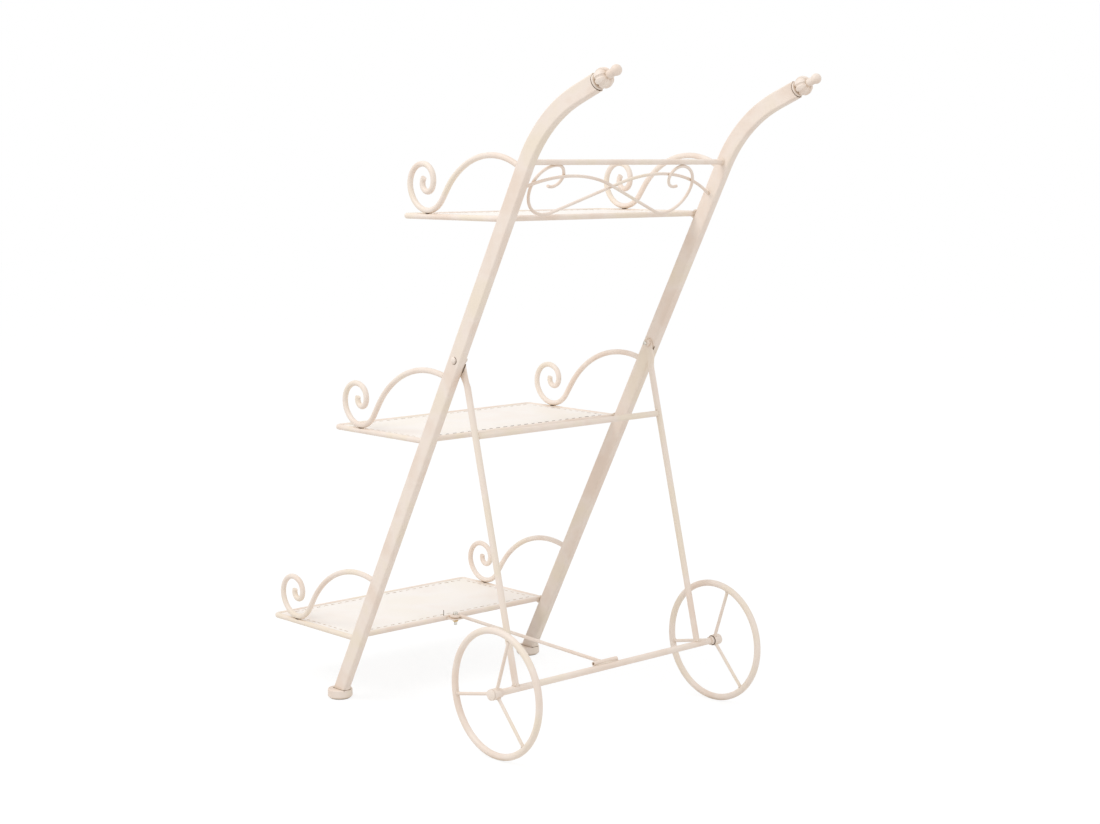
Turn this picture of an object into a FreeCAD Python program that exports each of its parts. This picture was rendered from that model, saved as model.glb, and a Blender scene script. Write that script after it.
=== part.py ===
import FreeCAD, Part
import math
import os

import Sketcher
from FreeCAD import Placement, Rotation, Vector

# Flower cart stand: two flat posts lean back and end in handles, three shelves hang in
# front of them, and a strut frame with two wire wheels holds them up from behind.
# X runs from the shelves to the wheels, Y from left to right, Z up, in millimetres.
# The origin is on the floor, in the middle of the stand's outline.

SIZES = {
    # posts, with their upper ends bent into handles
    "post_spacing": 400.0,
    "post_lean": 28.0,
    "post_depth": 25.4,
    "post_width": 12.7,
    "post_wall": 1.2,
    "post_corner": 3.0,
    "post_straight": 949.0,
    "handle_radius": 200.0,
    "handle_turn": 40.0,
    "handle_reach": 40.5,
    # feet
    "foot_diameter": 39.0,
    "foot_height": 15.0,
    "foot_offset": 4.0,
    "foot_floor": 2.0,
    "foot_bevel": 2.0,
    "foot_edge": 1.0,
    "foot_clearance": 0.1,
    "glide_diameter": 31.0,
    "glide_thickness": 1.5,
    # handle finials, measured along their own axis from the tube's end
    "plug_diameter": 8.2,
    "plug_length": 16.0,
    "collar_diameter": 17.0,
    "collar_thickness": 2.5,
    "collar_bevel": 1.0,
    "melon_diameter": 28.5,
    "melon_length": 20.0,
    "melon_end_diameter": 12.0,
    "flute_diameter": 5.5,
    "flute_depth": 1.6,
    "flute_count": 8,
    "neck_diameter": 11.5,
    "ball_diameter": 15.0,
    "ball_reach": 38.0,
    # shelves
    "shelf_rod": 8.5,
    "shelf_depth": 204.5,
    "shelf_corner": 6.0,
    "bottom_shelf_height": 103.0,
    "middle_shelf_height": 433.0,
    "top_shelf_height": 763.0,
    "panel_thickness": 1.0,
    "panel_lift": 1.5,
    "slot_length": 8.0,
    "slot_width": 2.0,
    "slot_inset": 12.0,
    "slot_pitch": 14.5,
    # back bar and the two wires under it
    "bar_diameter": 8.0,
    "bar_height": 841.0,
    "filigree_wire": 4.5,
    "filigree_shift": -15.0,
    "filigree_reach": 117.0,
    "filigree_slope": 22.0,
    "filigree_crest": 220.0,
    "filigree_straight": 118.0,
    "filigree_loop_low": 42.0,
    "filigree_loop_high": 36.0,
    "filigree_curl_high": 18.0,
    "filigree_curl_low": 16.0,
    "filigree_curl_end": 25.0,
    # side scrolls over the bottom and the middle shelf
    "scroll_rod": 8.5,
    "low_weld": 149.0,
    "low_slope": 55.6,
    "low_upper": 142.0,
    "low_straight": 21.8,
    "low_belly": 40.0,
    "low_rise": 62.6,
    "low_crown": 29.0,
    "low_crown_turn": 150.6,
    "low_return": 19.5,
    "low_return_turn": 78.4,
    "low_eye": 10.5,
    "low_eye_turn": 179.6,
    # side scrolls over the top shelf, which are flatter
    "high_weld": 157.3,
    "high_slope": 53.9,
    "high_upper": 119.0,
    "high_straight": 16.7,
    "high_belly": 40.9,
    "high_rise": 76.2,
    "high_crown": 29.0,
    "high_crown_turn": 115.9,
    "high_return": 23.3,
    "high_return_turn": 102.3,
    "high_eye": 11.9,
    "high_eye_turn": 198.3,
    # strut frame
    "strut_diameter": 9.6,
    "strut_bolt_height": 559.0,
    "strut_flat_width": 13.5,
    "strut_flat_thickness": 3.0,
    "strut_flat_length": 22.0,
    "strut_taper": 18.0,
    "crossbar_diameter": 9.3,
    "crossbar_height": 450.0,
    "strut_bolt": 6.0,
    "strut_bolt_head": 11.0,
    "strut_bolt_dome": 3.5,
    "strut_bolt_tail": 2.0,
    "strut_nut_flats": 10.0,
    "strut_nut_thickness": 5.0,
    "bolt_clearance": 0.1,
    # wheels and axle
    "axle_diameter": 9.8,
    "axle_reach": 411.0,
    "wheel_track": 454.0,
    "rim_radius": 90.5,
    "rim_rod": 10.0,
    "spoke_diameter": 5.0,
    "spoke_angle": 71.5,
    "hub_diameter": 16.5,
    "hub_inboard": 4.0,
    "hub_outboard": 8.0,
    "hub_recess_diameter": 13.5,
    "hub_recess_depth": 2.5,
    "hub_clearance": 0.07,
    "wheel_play": 0.3,
    "collar_outer": 13.0,
    "collar_length": 5.0,
    "cap_diameter": 16.0,
    "cap_length": 4.0,
    "cap_bore_depth": 2.5,
    "cap_dome": 1.5,
    # brace between the bottom shelf and the axle
    "brace_rod": 5.5,
    "eye_radius": 6.0,
    "eye_turn": 300.0,
    "brace_bolt_x": 50.0,
    "brace_skew": 14.0,
    "tab_rise": 1.3,
    "tab_thickness": 2.0,
    "tab_width": 22.0,
    "tab_margin": 9.0,
    "sleeve_diameter": 6.8,
    "sleeve_bore": 4.2,
    "sleeve_length": 48.0,
    "sleeve_offset": -8.0,
    "sleeve_angle": 120.0,
    "brace_bolt": 5.0,
    "brace_bolt_flats": 8.0,
    "brace_bolt_head": 3.5,
    "brace_bolt_tail": 6.0,
    "brace_nut_thickness": 4.0,
}

# Places that follow from the sizes above. A post's centre line meets the floor at x = 0
# before origin_x is taken off.
DERIVED = {
    "lean_slope": "=tan(post_lean * 1 deg)",
    "lean_cos": "=cos(post_lean * 1 deg)",
    "lean_sin": "=sin(post_lean * 1 deg)",
    "post_front": "=post_depth / 2 / lean_cos",
    "post_start": "=(glide_thickness + foot_floor) / lean_cos + post_depth / 2 * lean_slope",
    "handle_angle": "=post_lean + handle_turn",
    "bend_out": "=handle_radius * (1 - cos(handle_turn * 1 deg))",
    "bend_up": "=handle_radius * sin(handle_turn * 1 deg)",
    "handle_out": "=bend_out + handle_reach * sin(handle_turn * 1 deg)",
    "handle_up": "=post_straight + bend_up + handle_reach * cos(handle_turn * 1 deg)",
    "handle_x": "=handle_out * lean_cos + handle_up * lean_sin",
    "handle_z": "=handle_up * lean_cos - handle_out * lean_sin",
    "rail_back": "=post_front + shelf_rod / 2 / lean_cos",
    "front_x": "=bottom_shelf_height * lean_slope - rail_back - shelf_depth - shelf_rod / 2",
    "rear_x": "=handle_x + ball_reach * sin(handle_angle * 1 deg) + ball_diameter / 2",
    "origin_x": "=(front_x + rear_x) / 2",
    "panel_gap": "=sqrt(shelf_rod * shelf_rod / 4 - panel_lift * panel_lift)",
    "panel_length": "=shelf_depth - 2 * panel_gap",
    "panel_width": "=post_spacing - 2 * panel_gap",
    "cross_slots": "=floor((post_spacing - 2 * slot_inset - slot_length) / slot_pitch) + 1",
    "side_slots": "=floor((shelf_depth - 2 * slot_inset - 2 * slot_pitch) / slot_pitch) + 1",
    "axle_z": "=rim_radius + rim_rod / 2",
    "strut_plane": "=(post_spacing - post_width - strut_diameter) / 2",
    "strut_bolt_x": "=strut_bolt_height * lean_slope",
    "strut_rise": "=strut_bolt_height - axle_z",
    "strut_run": "=axle_reach - strut_bolt_x",
    "strut_lean": "=atan2(strut_run; strut_rise) / 1 deg",
    "strut_length": "=sqrt(strut_run * strut_run + strut_rise * strut_rise)",
    "crossbar_x": "=axle_reach - (crossbar_height - axle_z) * strut_run / strut_rise",
    "hub_end": "=wheel_track / 2 + hub_outboard + wheel_play",
    "brace_eye_z": "=bottom_shelf_height + tab_rise + brace_rod / 2",
    "sleeve_seat": "=(axle_diameter + sleeve_diameter) / 2",
    "sleeve_x": "=axle_reach + sleeve_seat * cos(sleeve_angle * 1 deg)",
    "sleeve_z": "=axle_z + sleeve_seat * sin(sleeve_angle * 1 deg)",
    "brace_run": "=sleeve_x - sleeve_diameter / 2 - brace_bolt_x",
    "brace_drop": "=atan2(brace_eye_z - sleeve_z; brace_run) / 1 deg",
}

SIDES = {"left": -1, "right": 1}
SHELVES = {
    "bottom": ("bottom_shelf_height", "low"),
    "middle": ("middle_shelf_height", "low"),
    "top": ("top_shelf_height", "high"),
}

doc = FreeCAD.newDocument("flower_cart_stand")
sheet = doc.addObject("Spreadsheet::Sheet", "Dims")
pieces = []


def fill_sheet():
    """Write every size and every place that follows from the sizes into the sheet."""
    row = 1
    for name, value in list(SIZES.items()) + list(DERIVED.items()):
        sheet.set(f"A{row}", name)
        sheet.set(f"B{row}", str(value))
        sheet.setAlias(f"B{row}", name)
        row += 1
    doc.recompute()


def dim(name):
    """The value of a sheet cell."""
    value = getattr(sheet, name)
    return float(getattr(value, "Value", value))


# ---------------------------------------------------------------- features


def new_body(label):
    """A body for one piece."""
    body = doc.addObject("PartDesign::Body", label)
    body.Label = label
    pieces.append(body)
    return body


def plane(body, role):
    """One of the body's own origin planes."""
    return next(item for item in body.Origin.OriginFeatures if item.Role == role)


def new_sketch(body, name, role):
    """A sketch on one of the body's origin planes."""
    sketch = body.newObject("Sketcher::SketchObject", f"{body.Name}_{name}")
    sketch.AttachmentSupport = [(plane(body, role), "")]
    sketch.MapMode = "FlatFace"
    return sketch


def bind(sketch, kind, arguments, formula):
    """Add one dimension to a sketch and bind it to the sheet."""
    index = sketch.addConstraint(Sketcher.Constraint(kind, *arguments))
    sketch.setExpression(f"Constraints[{index}]", formula)


def add_circle(sketch, u, v, diameter_name, extra=0.0):
    """A circle whose diameter is a named size, plus a fixed extra."""
    radius = dim(diameter_name) / 2 + extra
    index = sketch.addGeometry(Part.Circle(Vector(u, v, 0), Vector(0, 0, 1), radius))
    return index, radius


def add_outline(sketch, points):
    """A closed outline of straight lines."""
    corners = [Vector(u, v, 0) for u, v in points]
    lines = [Part.LineSegment(a, b) for a, b in zip(corners, corners[1:] + corners[:1])]
    first = sketch.addGeometry(lines[0])
    for line in lines[1:]:
        sketch.addGeometry(line)
    count = len(lines)
    for step in range(count):
        following = first + (step + 1) % count
        sketch.addConstraint(Sketcher.Constraint("Coincident", first + step, 2, following, 1))
    return first


def add_rounded_rectangle(sketch, width, height, corner):
    """A rectangle with rounded corners about the sketch's origin."""
    half_u = width / 2
    half_v = height / 2
    centres = [
        (half_u - corner, half_v - corner, 0.0),
        (corner - half_u, half_v - corner, 90.0),
        (corner - half_u, corner - half_v, 180.0),
        (half_u - corner, corner - half_v, 270.0),
    ]
    arcs = []
    for u, v, begin in centres:
        circle = Part.Circle(Vector(u, v, 0), Vector(0, 0, 1), corner)
        arcs.append(Part.ArcOfCircle(circle, math.radians(begin), math.radians(begin + 90)))
    for index, arc in enumerate(arcs):
        sketch.addGeometry(arc)
        following = arcs[(index + 1) % 4]
        sketch.addGeometry(Part.LineSegment(arc.EndPoint, following.StartPoint))


def pad(body, sketch, length_formula):
    """Raise a sketch evenly to both sides of its plane."""
    feature = body.newObject("PartDesign::Pad", f"{sketch.Name}_pad")
    feature.Profile = sketch
    feature.SideType = "Symmetric"
    feature.setExpression("Length", length_formula)
    return feature


def cut(body, sketch):
    """Cut a sketch through the whole body, to both sides of its plane."""
    feature = body.newObject("PartDesign::Pocket", f"{sketch.Name}_cut")
    feature.Profile = sketch
    feature.SideType = "Symmetric"
    feature.Type = "ThroughAll"
    return feature


def revolve(body, sketch, axis):
    """Turn a sketch round one of its own axes."""
    feature = body.newObject("PartDesign::Revolution", f"{sketch.Name}_turned")
    feature.Profile = sketch
    feature.ReferenceAxis = (sketch, [axis])
    feature.Angle = 360.0
    return feature


def place(piece, x="0", y="0", z="0", axis=None, angle=None):
    """Bind a piece's place, given from the posts' foot line, to the sheet."""
    if axis is not None:
        piece.Placement = Placement(Vector(), Rotation(axis, 1.0))
        piece.setExpression("Placement.Rotation.Angle", angle)
    piece.setExpression("Placement.Base.x", f"{x} - Dims.origin_x")
    piece.setExpression("Placement.Base.y", y)
    piece.setExpression("Placement.Base.z", z)


def dome_middle(radius, rise):
    """The point halfway up a round dome: its distance from the axis, and its height."""
    sphere = (radius * radius + rise * rise) / (2 * rise)
    half_angle = math.asin(radius / sphere) / 2
    return sphere * math.sin(half_angle), sphere * math.cos(half_angle) - sphere + rise


# ---------------------------------------------------------------- bent rods


def add_bends(sketch, start, heading, steps):
    """Draw a rod's centre line as a chain of lines and arcs that meet tangentially.

    start is a point of the sketch and heading an angle in degrees. A step is
    ("line", length, name) or ("arc", radius, turn, name), where turn is in degrees,
    positive to the left, and name is the size that binds the length or the radius.
    """
    u, v = start
    course = math.radians(heading)
    ends = []
    for step in steps:
        if step[0] == "line":
            length = step[1]
            begin = Vector(u, v, 0)
            u += length * math.cos(course)
            v += length * math.sin(course)
            index = sketch.addGeometry(Part.LineSegment(begin, Vector(u, v, 0)))
            if step[2]:
                bind(sketch, "Distance", (index, length), f"Dims.{step[2]}")
            ends.append((index, 1, 2))
        else:
            radius, turn, name = step[1], math.radians(step[2]), step[3]
            side = 1 if turn > 0 else -1
            centre = Vector(u - side * radius * math.sin(course), v + side * radius * math.cos(course), 0)
            first = course - side * math.pi / 2
            last = first + turn
            circle = Part.Circle(centre, Vector(0, 0, 1), radius)
            index = sketch.addGeometry(Part.ArcOfCircle(circle, min(first, last), max(first, last)))
            bind(sketch, "Radius", (index, radius), f"Dims.{name}")
            ends.append((index, 1, 2) if turn > 0 else (index, 2, 1))
            u = centre.x + radius * math.cos(last)
            v = centre.y + radius * math.sin(last)
            course += turn
    for before, after in zip(ends, ends[1:]):
        joint = Sketcher.Constraint("Tangent", before[0], before[2], after[0], after[1])
        sketch.addConstraint(joint)
    return len(steps)


def sweep_rod(body, path, edge_count, diameter_name):
    """Sweep a round section of a named diameter along a path sketch."""
    doc.recompute()
    section = body.newObject("Sketcher::SketchObject", f"{body.Name}_section")
    section.AttachmentSupport = [(path, "Edge1")]
    section.MapMode = "NormalToEdge"
    index, radius = add_circle(section, 0, 0, diameter_name)
    bind(section, "Radius", (index, radius), f"Dims.{diameter_name} / 2")
    section.addConstraint(Sketcher.Constraint("Coincident", index, 3, -1, 1))
    pipe = body.newObject("PartDesign::AdditivePipe", f"{body.Name}_rod")
    pipe.Profile = section
    pipe.Spine = (path, [f"Edge{number + 1}" for number in range(edge_count)])
    return pipe


# ---------------------------------------------------------------- posts


def make_post(side):
    """A flat tube from the foot cap to the handle's open end."""
    body = new_body(f"{side}_post")
    path = new_sketch(body, "path", "XZ_Plane")
    steps = [
        ("line", dim("post_straight") - dim("post_start"), None),
        ("arc", dim("handle_radius"), -dim("handle_turn"), "handle_radius"),
        ("line", dim("handle_reach"), "handle_reach"),
    ]
    count = add_bends(path, (0, dim("post_start")), 90, steps)
    section = new_sketch(body, "section", "XY_Plane")
    section.setExpression("AttachmentOffset.Base.z", "Dims.post_start")
    depth, width, wall, corner = (dim(f"post_{name}") for name in ("depth", "width", "wall", "corner"))
    add_rounded_rectangle(section, depth, width, corner)
    add_rounded_rectangle(section, depth - 2 * wall, width - 2 * wall, corner - wall)
    doc.recompute()
    tube = body.newObject("PartDesign::AdditivePipe", f"{body.Name}_tube")
    tube.Profile = section
    tube.Spine = (path, [f"Edge{number + 1}" for number in range(count)])
    hole = new_sketch(body, "bolt_hole", "XZ_Plane")
    bolt_path = dim("strut_bolt_height") / dim("lean_cos")
    index, radius = add_circle(hole, 0, bolt_path, "strut_bolt", dim("bolt_clearance"))
    bind(hole, "Radius", (index, radius), "Dims.strut_bolt / 2 + Dims.bolt_clearance")
    cut(body, hole)
    sign = SIDES[side]
    place(body, y=f"{sign} * Dims.post_spacing / 2", axis=Vector(0, 1, 0), angle="Dims.post_lean")


def make_foot_cap(side):
    """A round cup with a slanted socket for the post's lower end."""
    body = new_body(f"{side}_foot_cap")
    radius = dim("foot_diameter") / 2
    low = dim("glide_thickness")
    high = dim("foot_height")
    bevel = dim("foot_bevel")
    edge = dim("foot_edge")
    profile = new_sketch(body, "profile", "XZ_Plane")
    lower_corners = [(0, low), (radius - bevel, low), (radius, low + bevel)]
    upper_corners = [(radius, high - edge), (radius - edge, high), (0, high)]
    add_outline(profile, lower_corners + upper_corners)
    revolve(body, profile, "V_Axis")
    socket = new_sketch(body, "socket", "XZ_Plane")
    lean = math.radians(dim("post_lean"))
    half = dim("post_depth") / 2 + dim("foot_clearance")
    start = dim("post_start")
    end = start + 2 * high
    corners = [(-half, start), (half, start), (half, end), (-half, end)]
    leaned = []
    for across, along in corners:
        u = across * math.cos(lean) + along * math.sin(lean) - dim("foot_offset")
        v = along * math.cos(lean) - across * math.sin(lean)
        leaned.append((u, v))
    add_outline(socket, leaned)
    pocket = body.newObject("PartDesign::Pocket", f"{socket.Name}_cut")
    pocket.Profile = socket
    pocket.SideType = "Symmetric"
    pocket.setExpression("Length", "Dims.post_width + 2 * Dims.foot_clearance")
    sign = SIDES[side]
    place(body, x="Dims.foot_offset", y=f"{sign} * Dims.post_spacing / 2")


def make_foot_glide(side):
    """The thin round pad under a foot cap."""
    glide = doc.addObject("Part::Cylinder", f"{side}_foot_glide")
    glide.Label = f"{side}_foot_glide"
    glide.setExpression("Radius", "Dims.glide_diameter / 2")
    glide.setExpression("Height", "Dims.glide_thickness")
    sign = SIDES[side]
    place(glide, x="Dims.foot_offset", y=f"{sign} * Dims.post_spacing / 2")
    pieces.append(glide)


def make_finial(side):
    """A plug with a collar, a fluted melon, a neck and a ball, turned about its own Z axis."""
    body = new_body(f"{side}_handle_finial")
    plug = dim("plug_diameter") / 2
    collar = dim("collar_diameter") / 2
    neck = dim("neck_diameter") / 2
    melon = dim("melon_diameter") / 2
    melon_end = dim("melon_end_diameter") / 2
    ball = dim("ball_diameter") / 2
    plug_start = -dim("plug_length")
    collar_top = dim("collar_thickness")
    melon_start = collar_top + dim("collar_bevel")
    melon_finish = melon_start + dim("melon_length")
    melon_middle = (melon_start + melon_finish) / 2
    ball_centre = dim("ball_reach")
    ball_start = ball_centre - math.sqrt(ball * ball - neck * neck)
    ball_tip = Vector(0, ball_centre + ball, 0)
    melon_low = Vector(melon_end, melon_start, 0)
    melon_high = Vector(melon_end, melon_finish, 0)
    outline = [
        Part.LineSegment(Vector(0, plug_start, 0), Vector(plug, plug_start, 0)),
        Part.LineSegment(Vector(plug, plug_start, 0), Vector(plug, 0, 0)),
        Part.LineSegment(Vector(plug, 0, 0), Vector(collar, 0, 0)),
        Part.LineSegment(Vector(collar, 0, 0), Vector(collar, collar_top, 0)),
        Part.LineSegment(Vector(collar, collar_top, 0), melon_low),
        Part.Arc(melon_low, Vector(melon, melon_middle, 0), melon_high),
        Part.LineSegment(melon_high, Vector(neck, melon_finish, 0)),
        Part.LineSegment(Vector(neck, melon_finish, 0), Vector(neck, ball_start, 0)),
        Part.Arc(Vector(neck, ball_start, 0), Vector(ball, ball_centre, 0), ball_tip),
        Part.LineSegment(ball_tip, Vector(0, plug_start, 0)),
    ]
    profile = new_sketch(body, "profile", "XZ_Plane")
    for item in outline:
        profile.addGeometry(item)
    revolve(body, profile, "V_Axis")
    half_length = dim("melon_length") / 2
    rise = melon - melon_end
    bow = (half_length * half_length + rise * rise) / (2 * rise)
    bow_centre = melon - bow
    flute_centre = melon + dim("flute_diameter") / 2 - dim("flute_depth")
    section = new_sketch(body, "flute_section", "XY_Plane")
    section.AttachmentOffset.Base = Vector(0, 0, melon_middle)
    index, radius = add_circle(section, flute_centre, 0, "flute_diameter")
    bind(section, "Radius", (index, radius), "Dims.flute_diameter / 2")
    bow_axis = Part.LineSegment(Vector(bow_centre, -half_length, 0), Vector(bow_centre, half_length, 0))
    section.addGeometry(bow_axis, True)
    flute = body.newObject("PartDesign::Groove", f"{body.Name}_flute")
    flute.Profile = section
    flute.ReferenceAxis = (section, ["Axis0"])
    flute.Midplane = True
    flute.Angle = 2 * math.degrees(math.acos((melon_end - bow_centre) / bow))
    doc.recompute()
    pattern = body.newObject("PartDesign::PolarPattern", f"{body.Name}_flutes")
    pattern.Originals = [flute]
    pattern.Axis = (profile, ["V_Axis"])
    pattern.Angle = 360.0
    pattern.setExpression("Occurrences", "Dims.flute_count")
    body.Tip = pattern
    sign = SIDES[side]
    place(
        body,
        x="Dims.handle_x",
        y=f"{sign} * Dims.post_spacing / 2",
        z="Dims.handle_z",
        axis=Vector(0, 1, 0),
        angle="Dims.handle_angle",
    )


# ---------------------------------------------------------------- shelves


def cut_at_post_face(body, face_u, low, high):
    """Cut away all that lies behind the posts' front faces, between two heights."""
    slope = dim("lean_slope")
    depth = dim("post_depth")
    trim = new_sketch(body, "post_face", "XZ_Plane")
    lower_u = face_u + low * slope
    upper_u = face_u + high * slope
    add_outline(trim, [(lower_u, low), (upper_u + depth, low), (upper_u + depth, high), (upper_u, high)])
    cut(body, trim)


def make_shelf_frame(shelf, height_name):
    """One rod bent to a U, from one post's front face round to the other's."""
    body = new_body(f"{shelf}_shelf_frame")
    path = new_sketch(body, "path", "XY_Plane")
    half = dim("post_spacing") / 2
    depth = dim("shelf_depth")
    corner = dim("shelf_corner")
    past_face = dim("shelf_rod")
    side_run = past_face + depth - corner
    steps = [
        ("line", side_run, None),
        ("arc", corner, -90.0, "shelf_corner"),
        ("line", 2 * (half - corner), None),
        ("arc", corner, -90.0, "shelf_corner"),
        ("line", side_run, None),
    ]
    count = add_bends(path, (past_face, -half), 180, steps)
    sweep_rod(body, path, count, "shelf_rod")
    rod = dim("shelf_rod")
    cut_at_post_face(body, rod / 2 / dim("lean_cos"), -rod, rod)
    place(body, x=f"Dims.{height_name} * Dims.lean_slope - Dims.rail_back", z=f"Dims.{height_name}")


def make_coped_bar(label, diameter_name, spacing, spacing_formula, hole_role, hole_diameter_name):
    """A straight rod across the stand, its ends hollowed to fit the rods that they meet."""
    body = new_body(label)
    section = new_sketch(body, "section", "XZ_Plane")
    index, radius = add_circle(section, 0, 0, diameter_name)
    bind(section, "Radius", (index, radius), f"Dims.{diameter_name} / 2")
    pad(body, section, spacing_formula)
    copes = new_sketch(body, "copes", hole_role)
    for sign in SIDES.values():
        offset = sign * spacing / 2
        u, v = (offset, 0) if hole_role == "YZ_Plane" else (0, offset)
        index, radius = add_circle(copes, u, v, hole_diameter_name)
        bind(copes, "Radius", (index, radius), f"Dims.{hole_diameter_name} / 2")
    cut(body, copes)
    return body


def make_rear_rail(shelf, height_name):
    """The straight rail along the posts' front faces, between the frame's side rails."""
    label = f"{shelf}_shelf_rear_rail"
    spacing = dim("post_spacing")
    body = make_coped_bar(label, "shelf_rod", spacing, "Dims.post_spacing", "YZ_Plane", "shelf_rod")
    place(body, x=f"Dims.{height_name} * Dims.lean_slope - Dims.rail_back", z=f"Dims.{height_name}")


def add_slot(sketch, u, v, along_u):
    """A small rectangular slot with its middle at a point of the sketch."""
    half_long = dim("slot_length") / 2
    half_short = dim("slot_width") / 2
    half_u, half_v = (half_long, half_short) if along_u else (half_short, half_long)
    low = [(u - half_u, v - half_v), (u + half_u, v - half_v)]
    high = [(u + half_u, v + half_v), (u - half_u, v + half_v)]
    add_outline(sketch, low + high)


def make_slot_row(body, name, slots, axis, count_name):
    """Cut some slots and repeat them along one axis of the panel."""
    sketch = new_sketch(body, name, "XY_Plane")
    for u, v, along_u in slots:
        add_slot(sketch, u, v, along_u)
    pocket = cut(body, sketch)
    doc.recompute()
    pattern = body.newObject("PartDesign::LinearPattern", f"{sketch.Name}_row")
    pattern.Originals = [pocket]
    pattern.Direction = (sketch, [axis])
    pattern.setExpression("Occurrences", f"Dims.{count_name}")
    pattern.setExpression("Length", f"(Dims.{count_name} - 1) * Dims.slot_pitch")
    body.Tip = pattern
    doc.recompute()


def make_panel(shelf, height_name):
    """The sheet inside a shelf's frame, with a row of slots along each edge."""
    body = new_body(f"{shelf}_shelf_panel")
    gap = dim("panel_gap")
    half_width = dim("panel_width") / 2
    back = -gap
    front = gap - dim("shelf_depth")
    corner = dim("shelf_corner") - gap
    sheet_outline = new_sketch(body, "outline", "XY_Plane")
    left_circle = Part.Circle(Vector(front + corner, corner - half_width, 0), Vector(0, 0, 1), corner)
    right_circle = Part.Circle(Vector(front + corner, half_width - corner, 0), Vector(0, 0, 1), corner)
    left_arc = Part.ArcOfCircle(left_circle, math.pi, 3 * math.pi / 2)
    right_arc = Part.ArcOfCircle(right_circle, math.pi / 2, math.pi)
    back_left = Vector(back, -half_width, 0)
    back_right = Vector(back, half_width, 0)
    sheet_outline.addGeometry(left_arc)
    sheet_outline.addGeometry(Part.LineSegment(left_arc.EndPoint, back_left))
    sheet_outline.addGeometry(Part.LineSegment(back_left, back_right))
    sheet_outline.addGeometry(Part.LineSegment(back_right, right_arc.StartPoint))
    sheet_outline.addGeometry(right_arc)
    sheet_outline.addGeometry(Part.LineSegment(right_arc.EndPoint, left_arc.StartPoint))
    pad(body, sheet_outline, "Dims.panel_thickness")
    inset = dim("slot_inset")
    pitch = dim("slot_pitch")
    row_start = -(dim("cross_slots") - 1) * pitch / 2
    cross_rows = [(-inset, row_start, False), (inset - dim("shelf_depth"), row_start, False)]
    make_slot_row(body, "cross_slots", cross_rows, "V_Axis", "cross_slots")
    column_start = -dim("shelf_depth") / 2 - (dim("side_slots") - 1) * pitch / 2
    side_y = dim("post_spacing") / 2 - inset
    side_rows = [(column_start, -side_y, True), (column_start, side_y, True)]
    make_slot_row(body, "side_slots", side_rows, "H_Axis", "side_slots")
    lift = "Dims.panel_lift + Dims.panel_thickness / 2"
    place(body, x=f"Dims.{height_name} * Dims.lean_slope - Dims.rail_back", z=f"Dims.{height_name} + {lift}")


def make_scroll(side, shelf, height_name, shape):
    """An S of round rod from a post's front face down to the side rail, curled at its end."""
    body = new_body(f"{side}_{shelf}_scroll")
    slope = math.radians(dim(f"{shape}_slope"))
    lean = math.radians(dim("post_lean"))
    upper = dim(f"{shape}_upper")
    belly = dim(f"{shape}_belly")
    straight = dim(f"{shape}_straight")
    weld_u = -dim(f"{shape}_weld")
    weld_v = (dim("shelf_rod") + dim("scroll_rod")) / 2
    centre_u = weld_u + (belly + upper) * math.sin(slope) + straight * math.cos(slope)
    centre_v = weld_v + belly - (belly + upper) * math.cos(slope) + straight * math.sin(slope)
    face = math.cos(lean) * (math.tan(lean) * centre_v - centre_u) / upper
    past_face = dim("scroll_rod") / upper
    begin = math.acos(face) - lean - past_face
    steps = [
        ("arc", upper, 90 + math.degrees(slope - begin), f"{shape}_upper"),
        ("line", straight, f"{shape}_straight"),
        ("arc", belly, -dim(f"{shape}_slope") - dim(f"{shape}_rise"), f"{shape}_belly"),
        ("arc", dim(f"{shape}_crown"), -dim(f"{shape}_crown_turn"), f"{shape}_crown"),
        ("arc", dim(f"{shape}_return"), -dim(f"{shape}_return_turn"), f"{shape}_return"),
        ("arc", dim(f"{shape}_eye"), -dim(f"{shape}_eye_turn"), f"{shape}_eye"),
    ]
    start = (centre_u + upper * math.cos(begin), centre_v + upper * math.sin(begin))
    path = new_sketch(body, "path", "XZ_Plane")
    count = add_bends(path, start, math.degrees(begin) + 90, steps)
    sweep_rod(body, path, count, "scroll_rod")
    rod = dim("scroll_rod")
    cut_at_post_face(body, 0, start[1] - 2 * rod, start[1] + 2 * rod)
    sign = SIDES[side]
    place(
        body,
        x=f"Dims.{height_name} * Dims.lean_slope - Dims.post_front",
        y=f"{sign} * Dims.post_spacing / 2",
        z=f"Dims.{height_name}",
    )


# ---------------------------------------------------------------- back bar and filigree


def make_back_bar():
    """The round bar between the posts where the handles begin."""
    bar = doc.addObject("Part::Cylinder", "back_bar")
    bar.Label = "back_bar"
    bar.setExpression("Radius", "Dims.bar_diameter / 2")
    bar.setExpression("Height", "Dims.post_spacing - Dims.post_width")
    place(
        bar,
        x="Dims.bar_height * Dims.lean_slope",
        y="(Dims.post_spacing - Dims.post_width) / 2",
        z="Dims.bar_height",
        axis=Vector(1, 0, 0),
        angle="90",
    )
    pieces.append(bar)


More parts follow.
